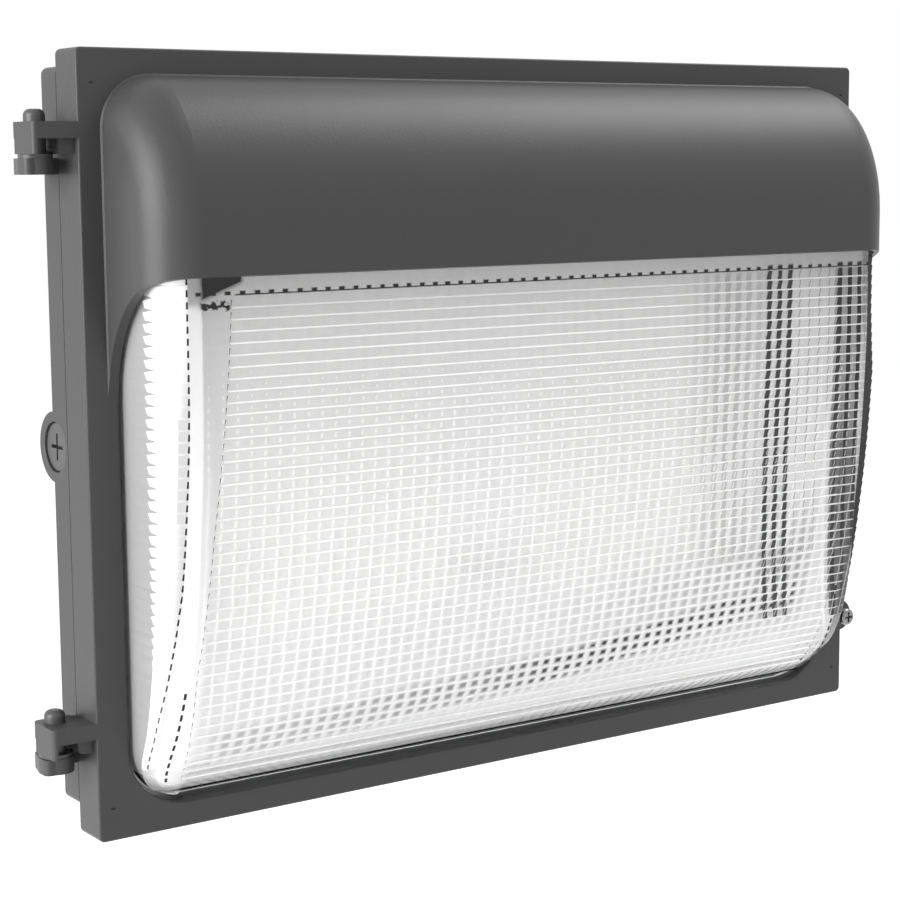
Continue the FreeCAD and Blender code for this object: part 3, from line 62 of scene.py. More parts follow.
def make_camera():
    data = bpy.data.cameras.new("camera")
    data.lens, data.sensor_width = 83.76, 36.0
    data.clip_start, data.clip_end = 0.05, 50.0
    camera = bpy.data.objects.new("camera", data)
    bpy.context.scene.collection.objects.link(camera)
    camera.matrix_world = (
        Matrix.Translation(CAMERA_AT)
        @ Matrix.Rotation(TURN, 4, "Z")
        @ Matrix.Rotation(math.pi / 2 + TILT, 4, "X")
        @ Matrix.Rotation(LEAN, 4, "Z")
    )
    bpy.context.scene.camera = camera
    return camera


camera = make_camera()
print("camera at", [round(v, 4) for v in camera.matrix_world.translation])

# %% [markdown]
# ## Node helpers
# Every finish here is a node tree. Small helpers add a node, set its values and join
# its sockets, so that each finish below reads as a short recipe.

# %% Node helpers
def add(tree, kind, **inputs):
    """A new node, with some of its inputs set by name."""
    node = tree.nodes.new(kind)
    for name, value in inputs.items():
        node.inputs[name.replace("_", " ")].default_value = value
    return node


def join(tree, source, target):
    """A link from an output to an input."""
    tree.links.new(source, target)


def remap(tree, value, low, high, out_low, out_high):
    """Map Range: value from low..high becomes out_low..out_high."""
    node = add(tree, "ShaderNodeMapRange")
    join(tree, value, node.inputs["Value"])
    names = ("From Min", "From Max", "To Min", "To Max")
    for name, number in zip(names, (low, high, out_low, out_high)):
        node.inputs[name].default_value = number
    return node.outputs["Result"]


def calc(tree, operation, a, b=None):
    """Math node. Each of a and b is a socket or a number."""
    node = tree.nodes.new("ShaderNodeMath")
    node.operation = operation
    for socket, value in zip(node.inputs, (a, b)):
        if isinstance(value, (int, float)):
            socket.default_value = value
        elif value is not None:
            join(tree, value, socket)
    return node.outputs[0]


def place_in_object(tree):
    """Object coordinates, in metres."""
    return add(tree, "ShaderNodeTexCoord").outputs["Object"]


def noise(tree, where, size, detail=2.0, roughness=0.5):
    """Noise with features about this many metres across."""
    node = add(tree, "ShaderNodeTexNoise", Scale=1.0 / size, Detail=detail, Roughness=roughness)
    join(tree, where, node.inputs["Vector"])
    return node.outputs["Fac"]


def new_group(name, inputs, outputs):
    """Node group with float inputs {name: default} and outputs {name: socket type}."""
    group = bpy.data.node_groups.new(name, "ShaderNodeTree")
    for label, default in inputs.items():
        socket = group.interface.new_socket(label, in_out="INPUT", socket_type="NodeSocketFloat")
        socket.default_value = default
    for label, kind in outputs.items():
        group.interface.new_socket(label, in_out="OUTPUT", socket_type=kind)
    return group, group.nodes.new("NodeGroupInput"), group.nodes.new("NodeGroupOutput")


def use_group(tree, group, **values):
    """A group placed in a tree, with some of its inputs set by name."""
    node = tree.nodes.new("ShaderNodeGroup")
    node.node_tree = group
    for name, value in values.items():
        node.inputs[name.replace("_", " ")].default_value = value
    return node


print("node helpers ready")

# %% [markdown]
# ## Shared effects
# Powder coat has a fine pebbled skin, pressed metal and moulded plastic have a fainter
# one, and glass from a mould is slightly wavy. Each effect is a group that puts out a
# tone, a roughness and a height, and each material places it with its own values.

# %% Skin group
def make_skin_group():
    group, given, put = new_group(
        "surface_skin",
        {"Grain Size": 0.0006, "Patch Size": 0.05, "Roughness": 0.5, "Roughness Spread": 0.08,
         "Tone Spread": 0.06},
        {"Height": "NodeSocketFloat", "Roughness": "NodeSocketFloat", "Tone": "NodeSocketFloat"},
    )
    where = place_in_object(group)
    fine = add(group, "ShaderNodeTexNoise", Detail=3.0, Roughness=0.55)
    broad = add(group, "ShaderNodeTexNoise", Detail=4.0, Roughness=0.6)
    for node, size in ((fine, "Grain Size"), (broad, "Patch Size")):
        join(group, where, node.inputs["Vector"])
        join(group, calc(group, "DIVIDE", 1.0, given.outputs[size]), node.inputs["Scale"])
    mixed = calc(group, "ADD", calc(group, "MULTIPLY", fine.outputs["Fac"], 0.4),
                 calc(group, "MULTIPLY", broad.outputs["Fac"], 0.6))
    around = calc(group, "SUBTRACT", mixed, 0.5)
    rough = calc(group, "ADD", given.outputs["Roughness"],
                 calc(group, "MULTIPLY", around, given.outputs["Roughness Spread"]))
    tone = calc(group, "ADD", 1.0, calc(group, "MULTIPLY", around, given.outputs["Tone Spread"]))
    join(group, fine.outputs["Fac"], put.inputs["Height"])
    join(group, rough, put.inputs["Roughness"])
    join(group, tone, put.inputs["Tone"])
    return group


skin = make_skin_group()
print("group:", skin.name, [s.name for s in skin.interface.items_tree])

# %% [markdown]
# ## Finishes
# One recipe serves every opaque finish: a colour, a gloss, a grain and how deep the
# grain is. The values tell one finish from another, so the paint, the plated steel and
# the rubber are all made by the same short function.

# %% Opaque finishes
def finish(name, colour, roughness, metallic=0.0, grain=0.0006, depth=0.00002, patch=0.05,
           spread=0.08, tone=0.06, specular=0.5, glow=0.0):
    """An opaque material. Grain, depth and patch are in metres."""
    material = bpy.data.materials.new(name)
    material.use_nodes = True
    tree = material.node_tree
    shader = tree.nodes["Principled BSDF"]
    shader.inputs["Metallic"].default_value = metallic
    shader.inputs["Specular IOR Level"].default_value = specular
    shader.inputs["Emission Color"].default_value = (*colour, 1.0)
    shader.inputs["Emission Strength"].default_value = glow
    surface = use_group(tree, skin, Grain_Size=grain, Patch_Size=patch, Roughness=roughness,
                        Roughness_Spread=spread, Tone_Spread=tone)
    join(tree, surface.outputs["Roughness"], shader.inputs["Roughness"])
    tint = add(tree, "ShaderNodeMix")
    tint.data_type = "RGBA"
    tint.blend_type = "MULTIPLY"
    tint.inputs["Factor"].default_value = 1.0
    tint.inputs[6].default_value = (*colour, 1.0)
    join(tree, surface.outputs["Tone"], tint.inputs[7])
    join(tree, tint.outputs[2], shader.inputs["Base Color"])
    bump = add(tree, "ShaderNodeBump", Strength=1.0, Distance=depth)
    join(tree, surface.outputs["Height"], bump.inputs["Height"])
    join(tree, bump.outputs["Normal"], shader.inputs["Normal"])
    return material


PAINT_GREY = (0.06, 0.06, 0.061)
SMALL_PAINT_GREY = (0.075, 0.075, 0.076)
door_paint = finish("door_powder_coat", PAINT_GREY, 0.42, grain=0.0011, depth=0.00006,
                    spread=0.12, specular=0.36)
housing_paint = finish("housing_powder_coat", PAINT_GREY, 0.44, grain=0.0011, depth=0.00006,
                       spread=0.12, specular=0.36)
pin_paint = finish("pin_powder_coat", SMALL_PAINT_GREY, 0.4, grain=0.0009, depth=0.00004)
plug_paint = finish("plug_powder_coat", SMALL_PAINT_GREY, 0.4, grain=0.0009, depth=0.00004)
bright_steel = finish("closure_stainless", (0.25, 0.25, 0.25), 0.25, metallic=1.0, grain=0.0004,
                      depth=0.000005, spread=0.15)
zinc_steel = finish("zinc_plated_steel", (0.55, 0.56, 0.57), 0.34, metallic=1.0, grain=0.0008,
                    depth=0.00001, spread=0.2, patch=0.02)
spring_steel = finish("spring_steel", (0.3, 0.3, 0.31), 0.35, metallic=1.0, grain=0.0006)
rubber_grey = finish("grey_silicone", (0.1, 0.1, 0.1), 0.7, grain=0.0012, depth=0.00003)
rubber_black = finish("black_rubber", (0.022, 0.022, 0.022), 0.6, grain=0.001, depth=0.00002)
# Painted light: the reflector tray and the boards glow a little, so that the inside reads bright
# through the glass.
tray_white = finish("reflector_white", (0.88, 0.88, 0.88), 0.4, grain=0.001, depth=0.00002,
                    glow=0.12)
board_white = finish("board_solder_mask", (0.84, 0.85, 0.84), 0.35, grain=0.003, depth=0.00001,
                     glow=0.12)
chip_phosphor = finish("chip_phosphor", (0.9, 0.89, 0.82), 0.3, grain=0.0008, depth=0.00002,
                       glow=0.3)
white_nylon = finish("white_nylon", (0.78, 0.78, 0.76), 0.4, grain=0.001, depth=0.00001)
driver_case = finish("driver_case", (0.72, 0.72, 0.7), 0.45, grain=0.002, depth=0.00002)
dark_nylon = finish("terminal_nylon", (0.12, 0.12, 0.125), 0.5, grain=0.001, depth=0.00002)
lead_sleeve = finish("lead_silicone", (0.7, 0.7, 0.68), 0.5, grain=0.001, depth=0.00001)
brass = finish("brass", (0.62, 0.45, 0.2), 0.28, metallic=1.0, grain=0.0006, spread=0.2)
print("finishes:", len(bpy.data.materials))

# %% [markdown]
# ## Dress the CAD parts
# The cast, turned and pressed parts have their real shapes already, so they keep their
# CAD meshes and take a finish by name.

# %% Finishes of the CAD parts
DRESS = {
    housing_paint: ["back_housing"],
    door_paint: ["door_frame"],
    pin_paint: ["hinge_pin_upper", "hinge_pin_lower", "hinge_washer_upper", "hinge_washer_lower"],
    plug_paint: ["conduit_plug_left", "conduit_plug_right"],
    bright_steel: ["closure_screw_upper", "closure_screw_lower"],
    zinc_steel: ["lens_retainer", "retainer_screws", "tray_screws", "led_board_screws",
                 "driver_screws", "terminal_screws"],
    spring_steel: ["closure_ring_upper", "closure_ring_lower"],
    rubber_grey: ["lens_gasket", "door_gasket"],
    rubber_black: ["plug_seal_left", "plug_seal_right", "wall_grommet"],
    tray_white: ["reflector_tray"],
    board_white: ["led_board_left", "led_board_right"],
    chip_phosphor: ["led_chips_left", "led_chips_right"],
    white_nylon: ["led_connectors", "tray_grommet"],
    driver_case: ["led_driver"],
    dark_nylon: ["terminal_block"],
    lead_sleeve: ["output_leads", "supply_leads"],
    brass: ["ground_screw"],
}
for material, names in DRESS.items():
    for name in names:
        data = nodes[name].data
        data.materials.clear()
        data.materials.append(material)
undressed = set(nodes) - {n for names in DRESS.values() for n in names}
print("left for its own piece:", sorted(undressed))

# %% [markdown]
# ## Marks in the glass
# Ribs outside and flutes inside cross each other, so the real lens is a field of small
# cells. Some cells bend the view to the dark door round the opening and to the shade
# under the hood, and these look like dark teeth, dark columns and dark dots, while the
# ribs catch the light in thin white lines. Copying every prism would take millions of
# faces, so the marks are a mask: the dark marks are painted shade and the bright marks
# are painted highlights that glow. Each point of the lens keeps two counts: `across`
# counts flutes, and `down` counts ribs from the top of the field.

# %% Mask helpers
def between(tree, value, low, high, soft):
    """Mask that is 1 between two values, with soft ends."""
    rise = remap(tree, value, low - soft, low + soft, 0.0, 1.0)
    fall = remap(tree, value, high - soft, high + soft, 1.0, 0.0)
    return calc(tree, "MULTIPLY", rise, fall)


def attribute(tree, name):
    """A number that each point of the mesh keeps."""
    node = tree.nodes.new("ShaderNodeAttribute")
    node.attribute_name = name
    return node.outputs["Fac"]


def folded(tree, operation, values):
    """All the values put together by one operation."""
    out = values[0]
    for value in values[1:]:
        out = calc(tree, operation, out, value)
    return out


def straight(tree, value, gain, offset):
    """Straight line: value times gain plus offset."""
    return calc(tree, "ADD", calc(tree, "MULTIPLY", value, gain), offset)


print("mask helpers ready")

# %% [markdown]
# ## Counts
# The marks aren't all square to the flutes. The dotted band along the bottom climbs to
# the right, and the dark columns lean as the glass curves back. A few more counts are
# worked out from the first two, so that each mark is a plain range of some counts.

# %% Counts over the lens
SWAY_SIZE, TEAR_SIZE, TEAR_REACH = 0.006, 0.0022, 1.3
CORNER_SLOPE, BAND_SLOPE, BAND_TURN_SLOPE = (0.5, 13.6), (0.09, -38.34), 0.096
BAND_TURN, COLUMN_LEAN, RIB_MIDDLE = 1.6, -0.000052, 0.45
LINE_GROWTH = (4.0, 34.0, 0.08, 0.5)


def centred_noise(tree, where, size):
    return calc(tree, "SUBTRACT", noise(tree, where, size, 1.0), 0.5)


def lens_counts(tree, wander):
    """The counts that marks are placed by, as sockets by name."""
    where = place_in_object(tree)
    down = attribute(tree, "down")
    sway = calc(tree, "MULTIPLY", centred_noise(tree, where, SWAY_SIZE), wander)
    across = calc(tree, "ADD", attribute(tree, "across"), sway)
    rib = calc(tree, "FRACT", down)
    tear = calc(tree, "MULTIPLY", centred_noise(tree, where, TEAR_SIZE), TEAR_REACH)
    turned = calc(tree, "MAXIMUM", calc(tree, "SUBTRACT", across, BAND_TURN), 0.0)
    band = folded(tree, "ADD", [down, straight(tree, across, *BAND_SLOPE),
                                calc(tree, "MULTIPLY", turned, BAND_TURN_SLOPE)])
    cubed = calc(tree, "POWER", calc(tree, "MAXIMUM", down, 0.0), 3.0)
    column = calc(tree, "ADD", across, calc(tree, "MULTIPLY", cubed, COLUMN_LEAN))
    from_middle = calc(tree, "ABSOLUTE", calc(tree, "SUBTRACT", rib, RIB_MIDDLE))
    return {
        "across": across,
        "down": down,
        "cell": calc(tree, "FRACT", across),
        "rib": rib,
        "slant": calc(tree, "ADD", down, straight(tree, across, *CORNER_SLOPE)),
        "torn": calc(tree, "ADD", down, tear),
        "band": band,
        "column": column,
        "stripe": calc(tree, "FRACT", column),
        "inside": calc(tree, "SUBTRACT", remap(tree, down, *LINE_GROWTH), from_middle),
    }


print("columns lean", round(COLUMN_LEAN * 37 ** 3, 2), "flutes by rib 37")

# %% [markdown]
# ## Tables of marks
# Each row of a table is one mark. It names some counts, and gives each a range and how
# soft the ends of the range are. A mark shows where all its ranges meet. A fade makes
# it grow along one count, and a strength makes it paler.

# %% Tables of marks
DOT = {"cell": (0.2, 0.72, 0.1), "rib": (0.12, 0.72, 0.1)}
STRIPE = {"stripe": (0.22, 0.7, 0.05)}
BROKEN = {"rib": (0.0, 0.9, 0.02)}
# Painted shade: these marks darken the glass where the prisms would show the dark door and the
# shade under the hood.
PAINTED_SHADE_MARKS = {
    "teeth": dict(down=(-0.46, -0.1, 0.04), cell=(0.14, 0.56, 0.05)),
    "tails": dict(down=(-0.2, -0.06, 0.03), across=(-25.2, 30.0, 0.1)),
    "corner": dict(across=(-27.5, -24.6, 0.15), slant=(-9.0, 0.2, 0.2)),
    "ragged": dict(across=(-27.6, -25.4, 0.1), torn=(0.42, 0.98, 0.08)),
    "low_rows": dict(band=(-1.8, 1.8, 0.6), across=(-25.5, 24.0, 0.6),
                     fade=("across", -26.0, 0.0, 0.55, 1.0), **DOT),
    "low_dots": dict(band=(-8.0, 3.2, 3.0), across=(-24.5, 24.6, 0.6),
                     fade=("across", 0.0, 22.0, 0.15, 0.75), **DOT),
    "lip": dict(down=(45.4, 45.75, 0.06)),
    "beside": dict(strength=0.5, column=(12.0, 18.0, 2.0), down=(0.0, 30.0, 0.5),
                   **STRIPE, **BROKEN),
    "columns": dict(column=(18.0, 21.0, 0.02), down=(-0.6, 37.0, 0.1), **STRIPE, **BROKEN),
    "thin": dict(strength=0.7, stripe=(0.4, 0.5, 0.03), column=(21.0, 25.0, 0.02),
                 down=(-0.6, 30.0, 0.1), **BROKEN),
    "edge_columns": dict(column=(25.0, 28.0, 0.02), down=(-0.6, 38.0, 0.1), **STRIPE, **BROKEN),
    "edge_block": dict(column=(25.0, 27.6, 0.05), down=(0.0, 38.0, 0.1),
                       fade=("down", 0.0, 20.0, 0.55, 0.95), **BROKEN),
    "far_edge": dict(strength=0.5, across=(28.4, 31.0, 0.1)),
}
# Painted highlights: these marks glow white where the ribs would catch the light.
PAINTED_HIGHLIGHT_MARKS = {
    "upright_lines": dict(cell=(0.86, 0.98, 0.03), inside=(0.0, 2.0, 0.0001),
                          down=(8.0, 41.0, 3.0)),
    "edge_lines": dict(across=(25.0, 28.6, 0.05), rib=(0.86, 1.05, 0.02), down=(0.0, 42.0, 0.1)),
    "edge_white": dict(column=(24.35, 24.6, 0.05), down=(15.0, 40.0, 2.0)),
    "border": dict(across=(-29.5, -26.8, 0.2), fade=("down", 8.0, 30.0, 0.0, 0.6)),
    "strip": dict(across=(-30.0, -27.45, 0.06), down=(0.7, 42.0, 0.3)),
}
print("dark marks:", len(PAINTED_SHADE_MARKS), "bright marks:", len(PAINTED_HIGHLIGHT_MARKS))


# %% Marks group
def build_mark(tree, counts, strength=1.0, fade=None, **ranges):
    """One row of a table: its ranges, its fade and its strength multiplied."""
    masks = [between(tree, counts[name], *span) for name, span in ranges.items()]
    if fade:
        name, *numbers = fade
        masks.append(remap(tree, counts[name], *numbers))
    if strength < 1.0:
        masks.append(strength)
    return folded(tree, "MULTIPLY", masks)


def make_marks_group():
    group, given, put = new_group(
        "lens_painted_refraction", {"Wander": 0.22},
        {"Dark": "NodeSocketFloat", "Bright": "NodeSocketFloat"})
    counts = lens_counts(group, given.outputs["Wander"])
    for label, table in (("Dark", PAINTED_SHADE_MARKS), ("Bright", PAINTED_HIGHLIGHT_MARKS)):
        masks = [build_mark(group, counts, **row) for row in table.values()]
        join(group, folded(group, "MAXIMUM", masks), put.inputs[label])
    return group


marks = make_marks_group()
print("group:", marks.name, "nodes:", len(marks.nodes))

# %% [markdown]
# ## Glass
# Pressed glass is clear with a slight waviness. Real glass bends light, so the lamps
# would never reach the tray behind it by straight lines. Cycles gets round that with a
# Light Path node: a shadow ray meets a plain transparent shader instead. The inner face
# of the real lens is fluted and hides what lies behind it, so it has a satin finish.

# %% Glass
GLASS_IOR = 1.47
# Painted shade: the glass is greyer at the top of the field, where the hood shades the reflector
# behind it.
HOOD_SHADE_AT_TOP = (0.0, 20.0, 0.73, 0.97)
PAINTED_HIGHLIGHT_GLOW = 0.3
SHADOW_TINT = (0.92, 0.92, 0.92, 1.0)


def make_glass(name, roughness, marked=False, through=1.0, glow=0.0, tone=0.97):
    """Glass of one tone. Where it is marked, painted shade darkens it and painted highlights
    light it up.
    """
    material = bpy.data.materials.new(name)
    material.use_nodes = True
    tree = material.node_tree
    shader = tree.nodes["Principled BSDF"]
    shader.inputs["Base Color"].default_value = (tone, tone, tone, 1.0)
    shader.inputs["Transmission Weight"].default_value = through
    shader.inputs["IOR"].default_value = GLASS_IOR
    shader.inputs["Emission Color"].default_value = (1.0, 1.0, 1.0, 1.0)
    shader.inputs["Emission Strength"].default_value = glow
    surface = use_group(tree, skin, Grain_Size=0.004, Patch_Size=0.03, Roughness=roughness,
                        Roughness_Spread=0.06)
    join(tree, surface.outputs["Roughness"], shader.inputs["Roughness"])
    bump = add(tree, "ShaderNodeBump", Strength=1.0, Distance=0.00001)
    join(tree, surface.outputs["Height"], bump.inputs["Height"])
    join(tree, bump.outputs["Normal"], shader.inputs["Normal"])
    if marked:
        mark = use_group(tree, marks)
        # Painted shade under the hood, greyer towards the top.
        hood_shade = remap(tree, attribute(tree, "down"), *HOOD_SHADE_AT_TOP)
        kept = remap(tree, mark.outputs["Dark"], 0.0, 1.0, 1.0, 0.0)
        join(tree, calc(tree, "MULTIPLY", hood_shade, kept), shader.inputs["Base Color"])
        # The bright marks are painted highlights that glow.
        lit = calc(tree, "MULTIPLY", mark.outputs["Bright"], PAINTED_HIGHLIGHT_GLOW)
        join(tree, lit, shader.inputs["Emission Color"])
        shader.inputs["Emission Strength"].default_value = 1.0
    clear = add(tree, "ShaderNodeBsdfTransparent", Color=SHADOW_TINT)
    path = tree.nodes.new("ShaderNodeLightPath")
    mix = tree.nodes.new("ShaderNodeMixShader")
    join(tree, path.outputs["Is Shadow Ray"], mix.inputs[0])
    join(tree, shader.outputs[0], mix.inputs[1])
    join(tree, clear.outputs[0], mix.inputs[2])
    join(tree, mix.outputs[0], tree.nodes["Material Output"].inputs["Surface"])
    return material


PALE, NEAR_WHITE, SHADE_GREY, BLACK = ((v, v, v) for v in (0.86, 0.93, 0.11, 0.02))
GLASS = {
    "clear": make_glass("pressed_glass", 0.06, marked=True),
    # The fluted inner face has a faint painted glow.
    "satin": make_glass("fluted_glass", 0.45, through=0.45, glow=0.02, tone=0.9),
    # Painted highlight: the rib ledges are an opaque near-white that glows, standing for the
    # light the glass ledges catch from above.
    "ledge": finish("rib_ledge_painted_highlight", NEAR_WHITE, 0.3, grain=0.001, depth=0.00001, glow=0.3),
    # Painted light: the side prisms are an opaque pale that glows, standing for the bright inside
    # seen through the side of the bowl.
    "side": finish("side_prisms_painted_glow", PALE, 0.3, grain=0.002, depth=0.00002, glow=0.1),
    "rim": make_glass("bowl_rim", 0.3, through=0.2, tone=0.36),
    # Painted shade: an opaque dark grey for the right corner of the lens and the crescents at its
    # lower corners, standing for the dark door seen through the glass and the shadow between lens
    # and door.
    "shade": finish("painted_shade_corner", SHADE_GREY, 0.5, grain=0.001, depth=0.00001, specular=0.0),
    # Painted shade: the steep ends and steps of the ribs are an opaque near-black, standing for
    # glass that looks dark where it turns the light back inside.
    "step": finish("rib_end_painted_dark", BLACK, 0.4, grain=0.001, depth=0.00001, specular=0.2),
}
print("glass:", sorted(GLASS))

# %% [markdown]
# ## The lens
# The real lens is one pressed glass bowl. Its front has level ribs outside and upright
# flutes inside, with a smooth border round them, and its sides have short ribs too.
# Ribs this deep change the outline and the highlights, so they are a real mesh. The
# skin is a stack of level rows. Each row goes round from the flange on the left, over
# the rounded corner and across the front, and every third row steps out again to make
# the ledge of a rib, whose face carries a painted highlight.

# %% Lens sizes
# All in millimetres. A distance down is measured along the middle of the outer skin,
# from its top edge. A distance along a row is measured from the front of its corner.
Y_FACE, Y_SEAT = -58.0, -53.0
Y_FLANGE, Y_FLANGE_BACK = -51.5, -46.5
HALF_W, LOW_Z, TOP_Z = 184.5, -140.0, 136.2
REACH, SPRING_Z = 37.5, 85.0
BOW_R, BOW_Z, BOW_END_Z, CHIN_R = 640.0, 44.0, -100.0, 75.0
EDGE_R, LOW_EDGE_R, THINNEST_R = 10.0, 6.0, 0.8
LOW_R, TOP_R = 23.0, 14.0
HOOD_SIDES = (12.0, 40.0)
GLASS_T = 5.0
FLANGE = (190.6, -145.3, 142.0, 20.0)
RIB_PITCH, RIB_DEPTH, CREST, LEDGE = 4.45, 0.9, 0.3, 0.9
FIELD_TOP, FIELD_RIBS, FIELD_PARTS = 95.2, 44, 6
SIDE_RIB_DEPTH, SIDE_RIBS_ABOVE, SIDE_FADE = 0.4, 8, (262.0, 282.0)
FINGER_Y, FINGER_LENGTH = -75.0, 10.0
FINGER_SHARE = {CREST: 0.1, LEDGE: 0.3}
BEND_SHARES = (0.0, 0.35, 0.65, 0.9)
LINE_WIDTH, DASH_WIDTH, SMOOTH_GAP, STEP_RUN = 0.7, 1.2, 1.8, 0.6
# Distances down over which the back strips at the lower corners take painted shadow.
SHADOW_CRESCENT = (284.0, 299.0)
FLUTE_PITCH, FLUTE_DEPTH, INNER_ROWS = 6.2, 0.3, 60
FIELD_EDGE = [(95, 157.0), (118, 158.5), (143, 160.5), (164, 162.3), (187, 164.3), (216, 166.0),
              (243, 168.3), (268, 168.6), (288, 167.5), (300, 165.0)]
RIB_ENDS = [(150, -1.9), (190, -2.7), (207, -3.2), (225, -5.1), (243, -7.5), (261, -11.0),
            (300, -13.5)]
LOW_DASHES = [(245, 1.5), (252, 1.0), (261, 0.0), (270, -0.8), (279, -1.6), (288, -3.5),
              (297, -5.9)]


def clamped(value, low, high):
    return min(max(value, low), high)


def read_table(table, value):
    """Straight lines between the pairs of a table, level beyond its ends."""
    if value <= table[0][0]:
        return table[0][1]
    for (a, low), (b, high) in zip(table, table[1:]):
        if value <= b:
            return low + (high - low) * (value - a) / (b - a)
    return table[-1][1]


print("ribs in the field:", FIELD_RIBS, "over", round(FIELD_RIBS * RIB_PITCH, 1), "mm")

# %% [markdown]
# ## Lens profile
# Seen from the side, the bowl springs from the door under the hood, bows gently down
# the front, and curls back into the door in a tighter chin. These are three arcs that
# meet smoothly. The same arcs drawn a glass thickness further in give the inner skin.

# %% Lens profile
ARC_STEPS = 400


def profile(inset):
    """Points (y, z) down the middle of a skin, and the distance to each."""
    top, front = TOP_Z - inset, Y_FACE - REACH + inset
    bow_y = Y_FACE - REACH + BOW_R
    bow_a = math.asin((BOW_Z - BOW_END_Z) / BOW_R)
    chin_y = bow_y - math.cos(bow_a) * (BOW_R - CHIN_R)
    chin_z = BOW_Z - math.sin(bow_a) * (BOW_R - CHIN_R)
    chin_a = math.acos((chin_y - Y_SEAT) / (CHIN_R - inset))
    points = []
    for i in range(ARC_STEPS):
        a = math.pi / 2 * i / ARC_STEPS
        points.append((Y_FACE - (REACH - inset) * math.sin(a),
                       SPRING_Z + (top - SPRING_Z) * math.cos(a)))
    points.append((front, SPRING_Z))
    for i in range(ARC_STEPS + 1):
        a, r = bow_a * i / ARC_STEPS, BOW_R - inset
        points.append((bow_y - math.cos(a) * r, BOW_Z - math.sin(a) * r))
    for i in range(1, ARC_STEPS + 1):
        a, r = bow_a + (chin_a - bow_a) * i / ARC_STEPS, CHIN_R - inset
        points.append((chin_y - math.cos(a) * r, chin_z - math.sin(a) * r))
    lengths = [0.0]
    for a, b in zip(points, points[1:]):
        lengths.append(lengths[-1] + math.dist(a, b))
    return points, lengths


def point_at(points, lengths, s):
    """Point at a distance down the profile."""
    high = min(max(bisect.bisect_right(lengths, s), 1), len(lengths) - 1)
    part = (s - lengths[high - 1]) / (lengths[high] - lengths[high - 1])
    (y0, z0), (y1, z1) = points[high - 1], points[high]
    return y0 + (y1 - y0) * part, z0 + (z1 - z0) * part


def half_width(z, inset):
    """Half width of the bowl at a height: it narrows in the rounded corners."""
    low, top = LOW_Z + inset, TOP_Z - inset
    low_r, top_r = LOW_R - inset, TOP_R - inset
    w = HALF_W - inset
    if z < low + low_r:
        w -= low_r - math.sqrt(max(low_r ** 2 - (low + low_r - z) ** 2, 0.0))
    if z > top - top_r:
        w -= top_r - math.sqrt(max(top_r ** 2 - (z - top + top_r) ** 2, 0.0))
    return w


def corner_radius(z, depth, inset):
    """Rounding from the sides to the front: tighter below the hood's sides."""
    low, high = HOOD_SIDES
    part = clamped((z - low) / (high - low), 0.0, 1.0)
    r = LOW_EDGE_R + (EDGE_R - LOW_EDGE_R) * part - inset
    return max(min(r, depth * 0.9), THINNEST_R)


def round_corner(u, r):
    """A distance round a corner of radius EDGE_R, moved to a corner of radius r."""
    if u >= 0:
        return u + EDGE_R - r
    from_wall = EDGE_R - EDGE_R * math.sin(min(-u / EDGE_R, math.pi / 2))
    return from_wall - r if from_wall >= r else -r * math.asin(1 - from_wall / r)


print("profile length:", round(profile(0.0)[1][-1], 1), "mm")

# %% [markdown]
# ## Level rows
# Ribs could be cut with a boolean or pushed out by a displacement, but then their ends
# would be ragged. Here each row of points is placed by rules, so that a rib starts and
# stops where the real one does. Strips of a row have names, and a strip keeps its name
# down the whole lens, which is how each face later finds its glass.

# %% Level rows
# On the right side the corner strips take painted shade, standing for the dark door seen through
# the glass.
FAR_SIDE = {"bend": "corner", "front": "corner", "line": "corner", "tick": "plain"}
ZONES = (["rim", "tip"] + ["side"] * 2 + ["bend"] * 2
         + ["front", "line", "plain", "dash", "plain", "tick"] + ["field"] * (FIELD_PARTS - 1))


def place(u, dent, w, r, y_front):
    """Point at a distance u along a row, counted from the front end of its corner."""
    if u >= 0:
        return -w + r + u, y_front + dent
    if u > -r * math.pi / 2:
        a = math.pi / 2 + u / r
        return -w + r - (r - dent) * math.cos(a), y_front + r - (r - dent) * math.sin(a)
    return -w + dent, y_front + r - r * math.pi / 2 - u


def mirrored(half, z, w, r, y_front, zones):
    """A whole row from its left half: points (x, y, z), and the zone of each strip."""
    left = [(*place(u, dent, w, r, y_front), z) for u, dent in half]
    right = [(-x, y, z) for x, y, z in reversed(left)]
    far = [FAR_SIDE.get(zone, zone) for zone in reversed(zones)]
    return left + right, zones + ["field"] + far


def in_field(s):
    """Whether a distance down is past the top of the ribbed field."""
    return s > FIELD_TOP - 0.01


